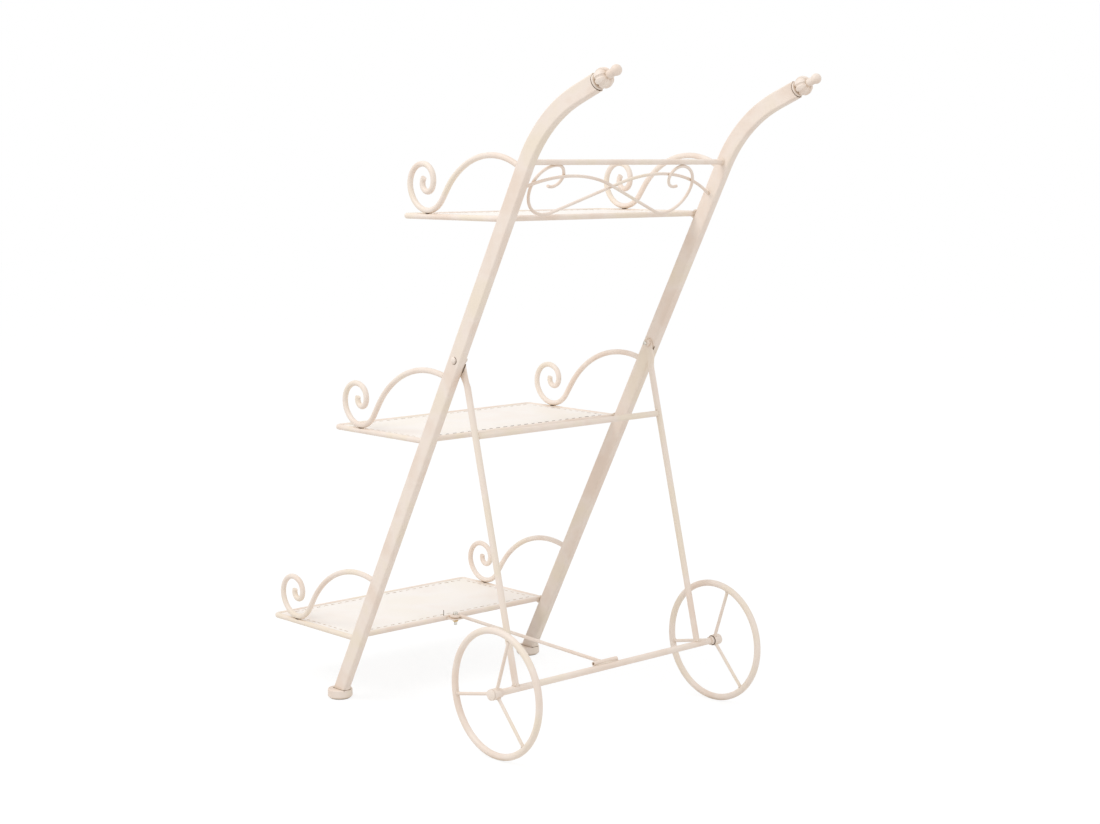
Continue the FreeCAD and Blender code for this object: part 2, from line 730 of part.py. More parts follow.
def make_filigree(side):
    """A wire from one post's inner face to a curled loop under the back bar's other half."""
    body = new_body(f"{side}_filigree_wire")
    mirror = -SIDES[side]
    wire = dim("filigree_wire")
    shift = dim("filigree_shift")
    inner_face = (dim("post_spacing") - dim("post_width")) / 2
    slope = math.radians(dim("filigree_slope"))
    crest = dim("filigree_crest")
    straight = dim("filigree_straight")
    low = dim("filigree_loop_low")
    high = dim("filigree_loop_high")
    touch = (dim("bar_diameter") + wire) / 2
    loop_top = -math.sqrt(touch * touch - wire * wire / 4)
    bottom_v = loop_top - high - low
    line_end_u = dim("filigree_reach") - low * math.sin(slope)
    crest_u = line_end_u - straight * math.cos(slope) - crest * math.sin(slope)
    crest_v = bottom_v + low * (1 - math.cos(slope)) + straight * math.sin(slope) + crest * (1 - math.cos(slope))
    tail_u = -(inner_face + mirror * shift) - wire
    tail = math.asin((crest_u - tail_u) / crest)
    tail_v = crest_v - crest * (1 - math.cos(tail))
    steps = [
        ("arc", crest, -mirror * math.degrees(tail + slope), "filigree_crest"),
        ("line", straight, "filigree_straight"),
        ("arc", low, mirror * (90 + math.degrees(slope)), "filigree_loop_low"),
        ("arc", high, mirror * 90, "filigree_loop_high"),
        ("arc", dim("filigree_curl_high"), mirror * 90, "filigree_curl_high"),
        ("arc", dim("filigree_curl_low"), mirror * (90 + dim("filigree_curl_end")), "filigree_curl_low"),
    ]
    bar_path = dim("bar_height") / dim("lean_cos")
    start = (shift + mirror * tail_u, bar_path + tail_v)
    heading = math.degrees(tail) if mirror > 0 else 180 - math.degrees(tail)
    path = new_sketch(body, "path", "YZ_Plane")
    path.setExpression("AttachmentOffset.Base.z", f"{mirror} * Dims.filigree_wire / 2")
    count = add_bends(path, start, heading, steps)
    sweep_rod(body, path, count, "filigree_wire")
    trim = new_sketch(body, "post_face", "YZ_Plane")
    margin = 4 * wire
    near = SIDES[side] * inner_face
    far = SIDES[side] * (inner_face + margin)
    low = start[1] - margin
    high = start[1] + margin
    add_outline(trim, [(near, low), (far, low), (far, high), (near, high)])
    cut(body, trim)
    place(body, axis=Vector(0, 1, 0), angle="Dims.post_lean")


# ---------------------------------------------------------------- strut frame


def make_strut(side):
    """A round tube from the axle up to the post, pressed flat round its bolt."""
    body = new_body(f"{side}_strut")
    sign = SIDES[side]
    radius = dim("strut_diameter") / 2
    half_width = dim("strut_flat_width") / 2
    thickness = dim("strut_flat_thickness")
    bolt_v = dim("strut_length")
    flat_start = bolt_v - dim("strut_flat_length")
    round_end = flat_start - dim("strut_taper")
    section = new_sketch(body, "round_section", "XY_Plane")
    index, circle_radius = add_circle(section, 0, 0, "strut_diameter")
    bind(section, "Radius", (index, circle_radius), "Dims.strut_diameter / 2")
    tube = body.newObject("PartDesign::Pad", f"{body.Name}_tube")
    tube.Profile = section
    tube.Length = round_end
    tube.setExpression("Length", "Dims.strut_length - Dims.strut_flat_length - Dims.strut_taper")
    cope = new_sketch(body, "axle_seat", "XZ_Plane")
    index, axle_radius = add_circle(cope, 0, 0, "axle_diameter")
    bind(cope, "Radius", (index, axle_radius), "Dims.axle_diameter / 2")
    cut(body, cope)
    lower = new_sketch(body, "taper_lower", "XY_Plane")
    lower.setExpression("AttachmentOffset.Base.z", "Dims.strut_length - Dims.strut_flat_length - Dims.strut_taper")
    quarter = math.atan2(thickness / 2, half_width)
    breaks = [quarter, math.pi - quarter, math.pi + quarter, 2 * math.pi - quarter, 2 * math.pi + quarter]
    circle = Part.Circle(Vector(0, 0, 0), Vector(0, 0, 1), radius)
    for first, last in zip(breaks, breaks[1:]):
        lower.addGeometry(Part.ArcOfCircle(circle, first, last))
    flat_y = sign * (radius - thickness / 2)
    upper = new_sketch(body, "taper_upper", "XY_Plane")
    upper.setExpression("AttachmentOffset.Base.z", "Dims.strut_length - Dims.strut_flat_length")
    low_y = flat_y - thickness / 2
    high_y = flat_y + thickness / 2
    add_outline(upper, [(half_width, high_y), (-half_width, high_y), (-half_width, low_y), (half_width, low_y)])
    taper = body.newObject("PartDesign::AdditiveLoft", f"{body.Name}_taper")
    taper.Profile = lower
    taper.Sections = [(upper, [""])]
    taper.Ruled = True
    flat = new_sketch(body, "flat", "XZ_Plane")
    flat.setExpression("AttachmentOffset.Base.z", f"{-sign} * (Dims.strut_diameter - Dims.strut_flat_thickness) / 2")
    end_circle = Part.Circle(Vector(0, bolt_v, 0), Vector(0, 0, 1), half_width)
    flat.addGeometry(Part.ArcOfCircle(end_circle, 0, math.pi))
    flat.addGeometry(Part.LineSegment(Vector(-half_width, bolt_v, 0), Vector(-half_width, flat_start, 0)))
    flat.addGeometry(Part.LineSegment(Vector(-half_width, flat_start, 0), Vector(half_width, flat_start, 0)))
    flat.addGeometry(Part.LineSegment(Vector(half_width, flat_start, 0), Vector(half_width, bolt_v, 0)))
    index, hole_radius = add_circle(flat, 0, bolt_v, "strut_bolt", dim("bolt_clearance"))
    bind(flat, "Radius", (index, hole_radius), "Dims.strut_bolt / 2 + Dims.bolt_clearance")
    pad(body, flat, "Dims.strut_flat_thickness")
    place(
        body,
        x="Dims.axle_reach",
        y=f"{sign} * Dims.strut_plane",
        z="Dims.axle_z",
        axis=Vector(0, 1, 0),
        angle="-Dims.strut_lean",
    )


def make_crossbar():
    """The round bar between the struts."""
    spacing = 2 * dim("strut_plane")
    body = make_coped_bar(
        "crossbar", "crossbar_diameter", spacing, "2 * Dims.strut_plane", "XY_Plane", "strut_diameter"
    )
    place(body, x="Dims.crossbar_x", z="Dims.crossbar_height", axis=Vector(0, 1, 0), angle="-Dims.strut_lean")


def make_bolt(label, profile_points, dome=0.0):
    """A bolt turned about its own Z axis, with its head's seat at z = 0 and its shank below."""
    body = new_body(label)
    profile = new_sketch(body, "profile", "XZ_Plane")
    corners = [Vector(u, v, 0) for u, v in profile_points]
    for before, after in zip(corners, corners[1:]):
        profile.addGeometry(Part.LineSegment(before, after))
    if dome:
        middle_u, middle_v = dome_middle(corners[-1].x, dome)
        crown = Vector(0, corners[-1].y + dome, 0)
        profile.addGeometry(Part.Arc(corners[-1], Vector(middle_u, corners[-1].y + middle_v, 0), crown))
        corners.append(crown)
    profile.addGeometry(Part.LineSegment(corners[-1], corners[0]))
    revolve(body, profile, "V_Axis")
    return body


def make_strut_bolt(side):
    """A domed bolt through the post and the strut's flat end, its head on the post's outside."""
    shank = dim("strut_bolt") / 2
    head = dim("strut_bolt_head") / 2
    dome = dim("strut_bolt_dome")
    length = dim("post_width") + dim("strut_flat_thickness") + dim("strut_nut_thickness") + dim("strut_bolt_tail")
    points = [(0, -length), (shank, -length), (shank, 0), (head, 0)]
    body = make_bolt(f"{side}_strut_bolt", points, dome)
    sign = SIDES[side]
    place(
        body,
        x="Dims.strut_bolt_x",
        y=f"{sign} * (Dims.post_spacing + Dims.post_width) / 2",
        z="Dims.strut_bolt_height",
        axis=Vector(1, 0, 0),
        angle=f"{-sign} * 90",
    )


def make_nut(label, flats_name, thickness_formula, bore_name):
    """A hexagonal nut that stands on z = 0."""
    body = new_body(label)
    outline = new_sketch(body, "outline", "XY_Plane")
    reach = dim(flats_name) / math.sqrt(3)
    corners = [(reach * math.cos(math.radians(60 * step)), reach * math.sin(math.radians(60 * step))) for step in range(6)]
    add_outline(outline, corners)
    index, radius = add_circle(outline, 0, 0, bore_name)
    bind(outline, "Radius", (index, radius), f"Dims.{bore_name} / 2")
    nut = body.newObject("PartDesign::Pad", f"{body.Name}_pad")
    nut.Profile = outline
    nut.setExpression("Length", thickness_formula)
    return body


def make_strut_nut(side):
    """The nut on the inner side of a strut's flat end."""
    body = make_nut(f"{side}_strut_nut", "strut_nut_flats", "Dims.strut_nut_thickness", "strut_bolt")
    sign = SIDES[side]
    place(
        body,
        x="Dims.strut_bolt_x",
        y=f"{sign} * ((Dims.post_spacing - Dims.post_width) / 2 - Dims.strut_flat_thickness)",
        z="Dims.strut_bolt_height",
        axis=Vector(1, 0, 0),
        angle=f"{sign} * 90",
    )


# ---------------------------------------------------------------- axle and wheels


def make_axle():
    """The straight axle, from the bore of one end cap to the other's."""
    axle = doc.addObject("Part::Cylinder", "axle")
    axle.Label = "axle"
    axle.setExpression("Radius", "Dims.axle_diameter / 2")
    axle.setExpression("Height", "2 * (Dims.hub_end + Dims.cap_bore_depth)")
    place(
        axle,
        x="Dims.axle_reach",
        y="Dims.hub_end + Dims.cap_bore_depth",
        z="Dims.axle_z",
        axis=Vector(1, 0, 0),
        angle="90",
    )
    pieces.append(axle)


def add_turned_outline(body, points):
    """Turn an outline of (along Y, radius) points about the piece's own Y axis."""
    profile = new_sketch(body, "profile", "YZ_Plane")
    add_outline(profile, points)
    revolve(body, profile, "H_Axis")


def make_rim(side):
    """The wheel's round rod ring."""
    body = new_body(f"{side}_wheel_rim")
    section = new_sketch(body, "section", "YZ_Plane")
    index, radius = add_circle(section, 0, dim("rim_radius"), "rim_rod")
    bind(section, "Radius", (index, radius), "Dims.rim_rod / 2")
    bind(section, "DistanceY", (-1, 1, index, 3, dim("rim_radius")), "Dims.rim_radius")
    revolve(body, section, "H_Axis")
    sign = SIDES[side]
    place(body, x="Dims.axle_reach", y=f"{sign} * Dims.wheel_track / 2", z="Dims.axle_z")


def make_spokes(side):
    """Three rods from the hub to the rim, a third of a turn apart."""
    sign = SIDES[side]
    for number in range(3):
        spoke = doc.addObject("Part::Cylinder", f"{side}_wheel_spoke_{number + 1}")
        spoke.Label = f"{side}_wheel_spoke_{number + 1}"
        angle = f"(Dims.spoke_angle + {120 * number})"
        spoke.setExpression("Radius", "Dims.spoke_diameter / 2")
        spoke.setExpression("Height", "Dims.rim_radius - Dims.rim_rod / 2 - Dims.hub_diameter / 2")
        place(
            spoke,
            x=f"Dims.axle_reach + Dims.hub_diameter / 2 * cos({angle} * 1 deg)",
            y=f"{sign} * Dims.wheel_track / 2",
            z=f"Dims.axle_z + Dims.hub_diameter / 2 * sin({angle} * 1 deg)",
            axis=Vector(0, 1, 0),
            angle=f"90 - {angle}",
        )
        pieces.append(spoke)


def make_hub(side):
    """A short sleeve that runs on the axle, recessed on its inner end."""
    body = new_body(f"{side}_wheel_hub")
    sign = SIDES[side]
    outer = dim("hub_diameter") / 2
    bore = dim("axle_diameter") / 2 + dim("hub_clearance")
    recess = dim("hub_recess_diameter") / 2
    inboard = -sign * dim("hub_inboard")
    recess_end = inboard + sign * dim("hub_recess_depth")
    outboard = sign * dim("hub_outboard")
    add_turned_outline(
        body,
        [(inboard, recess), (inboard, outer), (outboard, outer), (outboard, bore), (recess_end, bore), (recess_end, recess)],
    )
    place(body, x="Dims.axle_reach", y=f"{sign} * Dims.wheel_track / 2", z="Dims.axle_z")


def make_axle_collar(side):
    """The collar on the axle that keeps a wheel from sliding inwards."""
    body = new_body(f"{side}_axle_collar")
    sign = SIDES[side]
    inner = dim("axle_diameter") / 2
    outer = dim("collar_outer") / 2
    end = -sign * dim("collar_length")
    add_turned_outline(body, [(0, inner), (0, outer), (end, outer), (end, inner)])
    place(
        body,
        x="Dims.axle_reach",
        y=f"{sign} * (Dims.wheel_track / 2 - Dims.hub_inboard - Dims.wheel_play)",
        z="Dims.axle_z",
    )


def make_axle_cap(side):
    """The domed cap on the axle's end that keeps a wheel on."""
    body = new_body(f"{side}_axle_cap")
    sign = SIDES[side]
    inner = dim("axle_diameter") / 2
    outer = dim("cap_diameter") / 2
    bore_end = sign * dim("cap_bore_depth")
    rim_end = sign * (dim("cap_length") - dim("cap_dome"))
    top = sign * dim("cap_length")
    middle_v, middle_u = dome_middle(outer, dim("cap_dome"))
    profile = new_sketch(body, "profile", "YZ_Plane")
    corners = [(top, 0), (bore_end, 0), (bore_end, inner), (0, inner), (0, outer), (rim_end, outer)]
    points = [Vector(u, v, 0) for u, v in corners]
    for before, after in zip(points, points[1:]):
        profile.addGeometry(Part.LineSegment(before, after))
    profile.addGeometry(Part.Arc(points[-1], Vector(rim_end + sign * middle_u, middle_v, 0), points[0]))
    revolve(body, profile, "H_Axis")
    place(body, x="Dims.axle_reach", y=f"{sign} * Dims.hub_end", z="Dims.axle_z")


# ---------------------------------------------------------------- brace


def make_brace_rod():
    """A rod with an eye round the brace bolt, straight to the sleeve on the axle."""
    body = new_body("brace_rod")
    eye = dim("eye_radius")
    run = dim("brace_run")
    skew = math.degrees(math.asin((eye + dim("brace_skew")) / math.hypot(run, eye + dim("brace_skew"))))
    heading = -skew
    begin = math.radians(heading + 90 + dim("eye_turn"))
    start = (eye * math.cos(begin), eye * math.sin(begin))
    length = (run - eye * math.sin(math.radians(skew))) / math.cos(math.radians(skew))
    steps = [
        ("arc", eye, -dim("eye_turn"), "eye_radius"),
        ("line", length, None),
    ]
    path = new_sketch(body, "path", "XY_Plane")
    count = add_bends(path, start, heading + dim("eye_turn"), steps)
    sweep_rod(body, path, count, "brace_rod")
    place(body, x="Dims.brace_bolt_x", z="Dims.brace_eye_z", axis=Vector(0, 1, 0), angle="Dims.brace_drop")


def make_brace_tab():
    """The plate behind the bottom shelf's rear rail that the brace's eye lies on."""
    body = new_body("brace_tab")
    outline = new_sketch(body, "outline", "XY_Plane")
    rail_u = dim("bottom_shelf_height") * dim("lean_slope") - dim("rail_back") + dim("shelf_rod") / 2
    front = rail_u - dim("brace_bolt_x")
    back = dim("tab_margin")
    half = dim("tab_width") / 2
    add_outline(outline, [(front, -half), (back, -half), (back, half), (front, half)])
    index, radius = add_circle(outline, 0, 0, "brace_bolt", dim("bolt_clearance"))
    bind(outline, "Radius", (index, radius), "Dims.brace_bolt / 2 + Dims.bolt_clearance")
    pad(body, outline, "Dims.tab_thickness")
    height = "Dims.bottom_shelf_height + Dims.tab_rise - Dims.tab_thickness / 2"
    place(body, x="Dims.brace_bolt_x", z=height)


def make_brace_sleeve():
    """The short tube along the front of the axle that the brace ends on."""
    body = new_body("brace_sleeve")
    section = new_sketch(body, "section", "XZ_Plane")
    for name in ("sleeve_diameter", "sleeve_bore"):
        index, radius = add_circle(section, 0, 0, name)
        bind(section, "Radius", (index, radius), f"Dims.{name} / 2")
    pad(body, section, "Dims.sleeve_length")
    place(body, x="Dims.sleeve_x", y="Dims.sleeve_offset", z="Dims.sleeve_z")


def make_brace_bolt():
    """The bolt down through the brace's eye and the tab."""
    shank = dim("brace_bolt") / 2
    head = dim("brace_bolt_flats") / 2
    length = dim("brace_rod") + dim("tab_thickness") + dim("brace_nut_thickness") + dim("brace_bolt_tail")
    top = dim("brace_bolt_head")
    points = [(0, -length), (shank, -length), (shank, 0), (head, 0), (head, top), (0, top)]
    body = make_bolt("brace_bolt", points)
    place(body, x="Dims.brace_bolt_x", z="Dims.brace_eye_z + Dims.brace_rod / 2")


def make_brace_nut():
    """The nut under the tab."""
    body = make_nut("brace_nut", "brace_bolt_flats", "Dims.brace_nut_thickness", "brace_bolt")
    under_tab = "Dims.bottom_shelf_height + Dims.tab_rise - Dims.tab_thickness"
    place(body, x="Dims.brace_bolt_x", z=f"{under_tab} - Dims.brace_nut_thickness")


# ---------------------------------------------------------------- the stand


def make_stand():
    """Every piece, frame first."""
    for side in SIDES:
        make_post(side)
        make_foot_cap(side)
        make_foot_glide(side)
        make_finial(side)
    make_back_bar()
    for side in SIDES:
        make_filigree(side)
    for shelf, (height_name, shape) in SHELVES.items():
        make_shelf_frame(shelf, height_name)
        make_rear_rail(shelf, height_name)
        make_panel(shelf, height_name)
        for side in SIDES:
            make_scroll(side, shelf, height_name, shape)
    for side in SIDES:
        make_strut(side)
        make_strut_bolt(side)
        make_strut_nut(side)
    make_crossbar()
    make_axle()
    for side in SIDES:
        make_rim(side)
        make_spokes(side)
        make_hub(side)
        make_axle_collar(side)
        make_axle_cap(side)
    make_brace_rod()
    make_brace_tab()
    make_brace_sleeve()
    make_brace_bolt()
    make_brace_nut()


def check_document():
    """Stop if any object failed or any piece has no valid solid."""
    for item in doc.Objects:
        if "Invalid" in item.State or "Error" in item.State:
            raise RuntimeError(f"{item.Label} failed: {item.State}")
    for piece in pieces:
        if piece.Shape.isNull() or not piece.Shape.isValid() or not piece.Shape.Solids:
            raise RuntimeError(f"{piece.Label} has no valid solid")


def export_pieces():
    """One STEP file for each piece."""
    os.makedirs("parts", exist_ok=True)
    for piece in pieces:
        piece.Shape.exportStep(os.path.join("parts", f"{piece.Label}.step"))


fill_sheet()
make_stand()
doc.recompute()
check_document()
export_pieces()
box = Part.Compound([piece.Shape for piece in pieces]).BoundBox
print(f"{len(pieces)} pieces, {box.XLength:.1f} x {box.YLength:.1f} x {box.ZLength:.1f} mm")
print(f"x {box.XMin:.2f} to {box.XMax:.2f}, y {box.YMin:.2f} to {box.YMax:.2f}, z {box.ZMin:.2f} to {box.ZMax:.2f}")
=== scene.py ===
"""Looks of a tiered flower cart stand in cream powder-coated steel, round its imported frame."""

import logging
import math
import random
from dataclasses import dataclass, field
from enum import Enum

import bmesh
import bpy
from mathutils import Matrix, Vector


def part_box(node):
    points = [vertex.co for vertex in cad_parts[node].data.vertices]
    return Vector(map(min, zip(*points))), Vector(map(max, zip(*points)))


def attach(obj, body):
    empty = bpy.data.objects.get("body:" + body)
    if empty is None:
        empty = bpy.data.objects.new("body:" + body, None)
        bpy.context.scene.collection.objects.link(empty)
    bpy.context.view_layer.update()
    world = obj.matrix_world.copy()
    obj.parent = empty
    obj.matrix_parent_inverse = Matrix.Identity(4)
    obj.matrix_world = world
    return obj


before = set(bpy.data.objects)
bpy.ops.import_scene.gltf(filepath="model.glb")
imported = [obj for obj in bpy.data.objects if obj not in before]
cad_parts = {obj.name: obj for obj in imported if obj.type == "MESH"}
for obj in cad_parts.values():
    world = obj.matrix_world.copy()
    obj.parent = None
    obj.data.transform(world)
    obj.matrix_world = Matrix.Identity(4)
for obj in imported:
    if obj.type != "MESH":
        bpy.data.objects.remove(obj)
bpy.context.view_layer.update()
LOG = logging.getLogger("flower_cart_stand")
MM = 0.001
ORIGIN_X = 0.22715  # the posts' centre lines meet the floor this far in front of the origin
LEAN = math.radians(28.0)  # how far the posts lean back from upright
TURN = 2.0 * math.pi
BACKWARD = Vector((1.0, 0.0, 0.0))
ACROSS = Vector((0.0, 1.0, 0.0))
UPWARD = Vector((0.0, 0.0, 1.0))
WHITE = (1.0, 1.0, 1.0, 1.0)
WELD = 1.1 * MM  # the usual radius of a weld bead
MERGE = 1e-6  # vertices nearer than this become one
WAVE_FACTOR = 20.0  # what a wave texture multiplies its coordinate by
BEAD_SIDES = 8  # facets round a bead's own section
BEAD_STEPS = 22  # segments along its ring
DISC_STEPS = 48
THREAD_STEPS = 24
EASE = 0.22  # a block's eased edge, as a share of its thinnest side


class Side(Enum):
    """A side of the stand, with the sign of its Y."""

    LEFT = -1.0
    RIGHT = 1.0

    @property
    def word(self) -> str:
        """The side's word in node names."""
        return self.name.lower()


class Shelf(Enum):
    """A shelf, with the height of its rod's centre line in metres."""

    BOTTOM = 0.103
    MIDDLE = 0.433
    TOP = 0.763

    @property
    def word(self) -> str:
        """The shelf's word in node names."""
        return self.name.lower()


class Slot(Enum):
    """The record's material slots."""

    PAINT = "cream_paint"
    GLIDE = "glide_plastic"
    BRASS = "brass"
    ZINC = "zinc_steel"


# ---------------------------------------------------------------------------- materials


def linear(hex_colour: str) -> tuple[float, float, float, float]:
    """Turn an sRGB colour into the linear one that shaders take.

    Args:
        hex_colour: Six hex digits, with or without a leading #.

    Returns:
        Linear red, green and blue, and an alpha of 1.
    """
    digits = hex_colour.lstrip("#")
    channels = [int(digits[i:i + 2], 16) / 255.0 for i in (0, 2, 4)]
    mapped = [c / 12.92 if c <= 0.04045 else ((c + 0.055) / 1.055) ** 2.4 for c in channels]
    return (mapped[0], mapped[1], mapped[2], 1.0)


def node(tree: bpy.types.NodeTree, kind: str,
         settings: dict[str | int, object] | None = None,
         links: dict[str | int, bpy.types.NodeSocket] | None = None) -> bpy.types.Node:
    """Add a shader node with its settings and its incoming links.

    Args:
        tree: The material's node tree.
        kind: The node's type name.
        settings: Values by the name or number of an input, or else of a property; "stops"
            are a ramp's places and colours.
        links: Output sockets by the name or number of the input that they feed.

    Returns:
        The new node.
    """
    made = tree.nodes.new(kind)
    for name, value in (settings or {}).items():
        if name == "stops":
            elements = made.color_ramp.elements
            elements.remove(elements[1])
            elements[0].position, elements[0].color = value[0]
            for place, colour in value[1:]:
                elements.new(place).color = colour
        elif isinstance(name, str) and hasattr(made, name) and name not in made.inputs:
            setattr(made, name, value)
        else:
            made.inputs[name].default_value = value
    for name, socket in (links or {}).items():
        tree.links.new(socket, made.inputs[name])
    return made


def per_metre(feature_mm: float) -> float:
    """A noise scale whose features are about that many millimetres across."""
    return 1.0 / (feature_mm * MM)


def fresh_material(
        name: str) -> tuple[bpy.types.Material, bpy.types.NodeTree, bpy.types.NodeSocket]:
    """Start a node-based material.

    Args:
        name: The finish's plain name.

    Returns:
        The material, its emptied tree and the object coordinates.
    """
    material = bpy.data.materials.new(name)
    material.use_nodes = True
    material.node_tree.nodes.clear()
    place = node(material.node_tree, "ShaderNodeTexCoord").outputs["Object"]
    return material, material.node_tree, place


def close_material(tree: bpy.types.NodeTree, shader: bpy.types.Node) -> None:
    """Feed the surface output from a shader node."""
    node(tree, "ShaderNodeOutputMaterial", links={"Surface": shader.outputs[0]})


@dataclass(frozen=True)
class PowderCoat:
    """Polyester powder coat, sprayed and baked on steel: satin and even, faintly dimpled."""

    name: str = "Powder coat, cream satin"
    light: str = "F3E6DB"
    deep: str = "EEDDCF"
    warm: str = "F1E4D3"
    shade: str = "D9C5AE"  # painted shade in the corners and creases
    roughness: float = 0.42
    cloud_mm: float = 70.0  # drifts of coat thickness along a rod
    corner_mm: float = 9.0  # how far a corner's shade reaches
    speck_mm: float = 2.2  # pinholes at edges and welds, drawn coarse enough to show
    speck_share: float = 0.0
    speck: str = "8A6B4C"
    peel_mm: float = 1.6  # orange peel of the baked coat
    peel_depth: float = 0.2 * MM

    def material(self) -> bpy.types.Material:
        """Build the coat's material.

        Returns:
            The material.
        """
        built, tree, place = fresh_material(self.name)
        cloud = node(tree, "ShaderNodeTexNoise",
                     {"Scale": per_metre(self.cloud_mm), "Detail": 3.0}, {"Vector": place})
        stops = [(0.36, linear(self.deep)), (0.5, linear(self.light)), (0.64, linear(self.warm))]
        drift = node(tree, "ShaderNodeValToRGB", {"stops": stops}, {"Fac": cloud.outputs["Fac"]})
        # Painted shade: ambient occlusion mixes the shade colour into corners and creases.
        corner = node(tree, "ShaderNodeAmbientOcclusion",
                      {"Distance": self.corner_mm * MM, "samples": 8})
        painted_shade_mask = node(tree, "ShaderNodeMapRange",
                    {"From Min": 0.35, "From Max": 0.9, "To Min": 0.75, "To Max": 0.0},
                    {"Value": corner.outputs["AO"]})
        body = node(tree, "ShaderNodeMix", {"data_type": "RGBA", 7: linear(self.shade)},
                    {"Factor": painted_shade_mask.outputs["Result"], 6: drift.outputs["Color"]})
        pin = node(tree, "ShaderNodeTexNoise",
                   {"Scale": per_metre(self.speck_mm), "Detail": 2.0}, {"Vector": place})
        mask = node(tree, "ShaderNodeMapRange",
                    {"From Min": 1.0 - self.speck_share, "From Max": 1.04 - self.speck_share},
                    {"Value": pin.outputs["Fac"]})
        colour = node(tree, "ShaderNodeMix", {"data_type": "RGBA", 7: linear(self.speck)},
                      {"Factor": mask.outputs["Result"], 6: body.outputs[2]})
        satin = node(tree, "ShaderNodeMapRange",
                     {"To Min": self.roughness - 0.05, "To Max": self.roughness + 0.07},
                     {"Value": cloud.outputs["Fac"]})
        peel = node(tree, "ShaderNodeTexNoise",
                    {"Scale": per_metre(self.peel_mm), "Detail": 2.0}, {"Vector": place})
        bump = node(tree, "ShaderNodeBump", {"Strength": 0.12, "Distance": self.peel_depth},
                    {"Height": peel.outputs["Fac"]})
        coat = node(tree, "ShaderNodeBsdfPrincipled", {"IOR": 1.5, "Specular IOR Level": 0.45},
                    {"Base Color": colour.outputs[2], "Roughness": satin.outputs["Result"],
                     "Normal": bump.outputs["Normal"]})
        close_material(tree, coat)
        return built


@dataclass(frozen=True)
class MouldedPlastic:
    """Moulded polyethylene: matte, slightly waxy, scuffed where it slides on the floor."""

    name: str = "Polyethylene, moulded grey"
    body: str = "B9B1A6"
    scuff: str = "CBC4B9"
    roughness: float = 0.55
    scuff_mm: float = 9.0
    scuff_depth: float = 0.2 * MM

    def material(self) -> bpy.types.Material:
        """Build the plastic's material.

        Returns:
            The material.
        """
        built, tree, place = fresh_material(self.name)
        scuff = node(tree, "ShaderNodeTexNoise",
                     {"Scale": per_metre(self.scuff_mm), "Detail": 6.0}, {"Vector": place})
        colour = node(tree, "ShaderNodeValToRGB",
                      {"stops": [(0.4, linear(self.body)), (0.7, linear(self.scuff))]},
                      {"Fac": scuff.outputs["Fac"]})
        bump = node(tree, "ShaderNodeBump", {"Strength": 0.2, "Distance": self.scuff_depth},
                    {"Height": scuff.outputs["Fac"]})
        skin = node(tree, "ShaderNodeBsdfPrincipled", {"Roughness": self.roughness, "IOR": 1.51},
                    {"Base Color": colour.outputs["Color"], "Normal": bump.outputs["Normal"]})
        close_material(tree, skin)
        return built


@dataclass(frozen=True)
class BareMetal:
    """Machined or plated metal: turned grooves catch the light, with patches of tarnish."""

    name: str
    bright: str
    dull: str
    roughness: float
    stain_mm: float = 3.0
    groove_mm: float = 0.8
    groove_depth: float = 0.1 * MM

    def material(self) -> bpy.types.Material:
        """Build the metal's material.

        Returns:
            The material.
        """
        built, tree, place = fresh_material(self.name)
        stain = node(tree, "ShaderNodeTexNoise",
                     {"Scale": per_metre(self.stain_mm), "Detail": 5.0}, {"Vector": place})
        colour = node(tree, "ShaderNodeValToRGB",
                      {"stops": [(0.35, linear(self.dull)), (0.6, linear(self.bright))]},
                      {"Fac": stain.outputs["Fac"]})
        groove = node(tree, "ShaderNodeTexWave",
                      {"Scale": per_metre(self.groove_mm) / WAVE_FACTOR, "Distortion": 1.0,
                       "bands_direction": "Z"}, {"Vector": place})
        bump = node(tree, "ShaderNodeBump", {"Strength": 0.15, "Distance": self.groove_depth},
                    {"Height": groove.outputs["Fac"]})
        metal = node(tree, "ShaderNodeBsdfPrincipled",
                     {"Metallic": 1.0, "Roughness": self.roughness},
                     {"Base Color": colour.outputs["Color"], "Normal": bump.outputs["Normal"]})
        close_material(tree, metal)
        return built


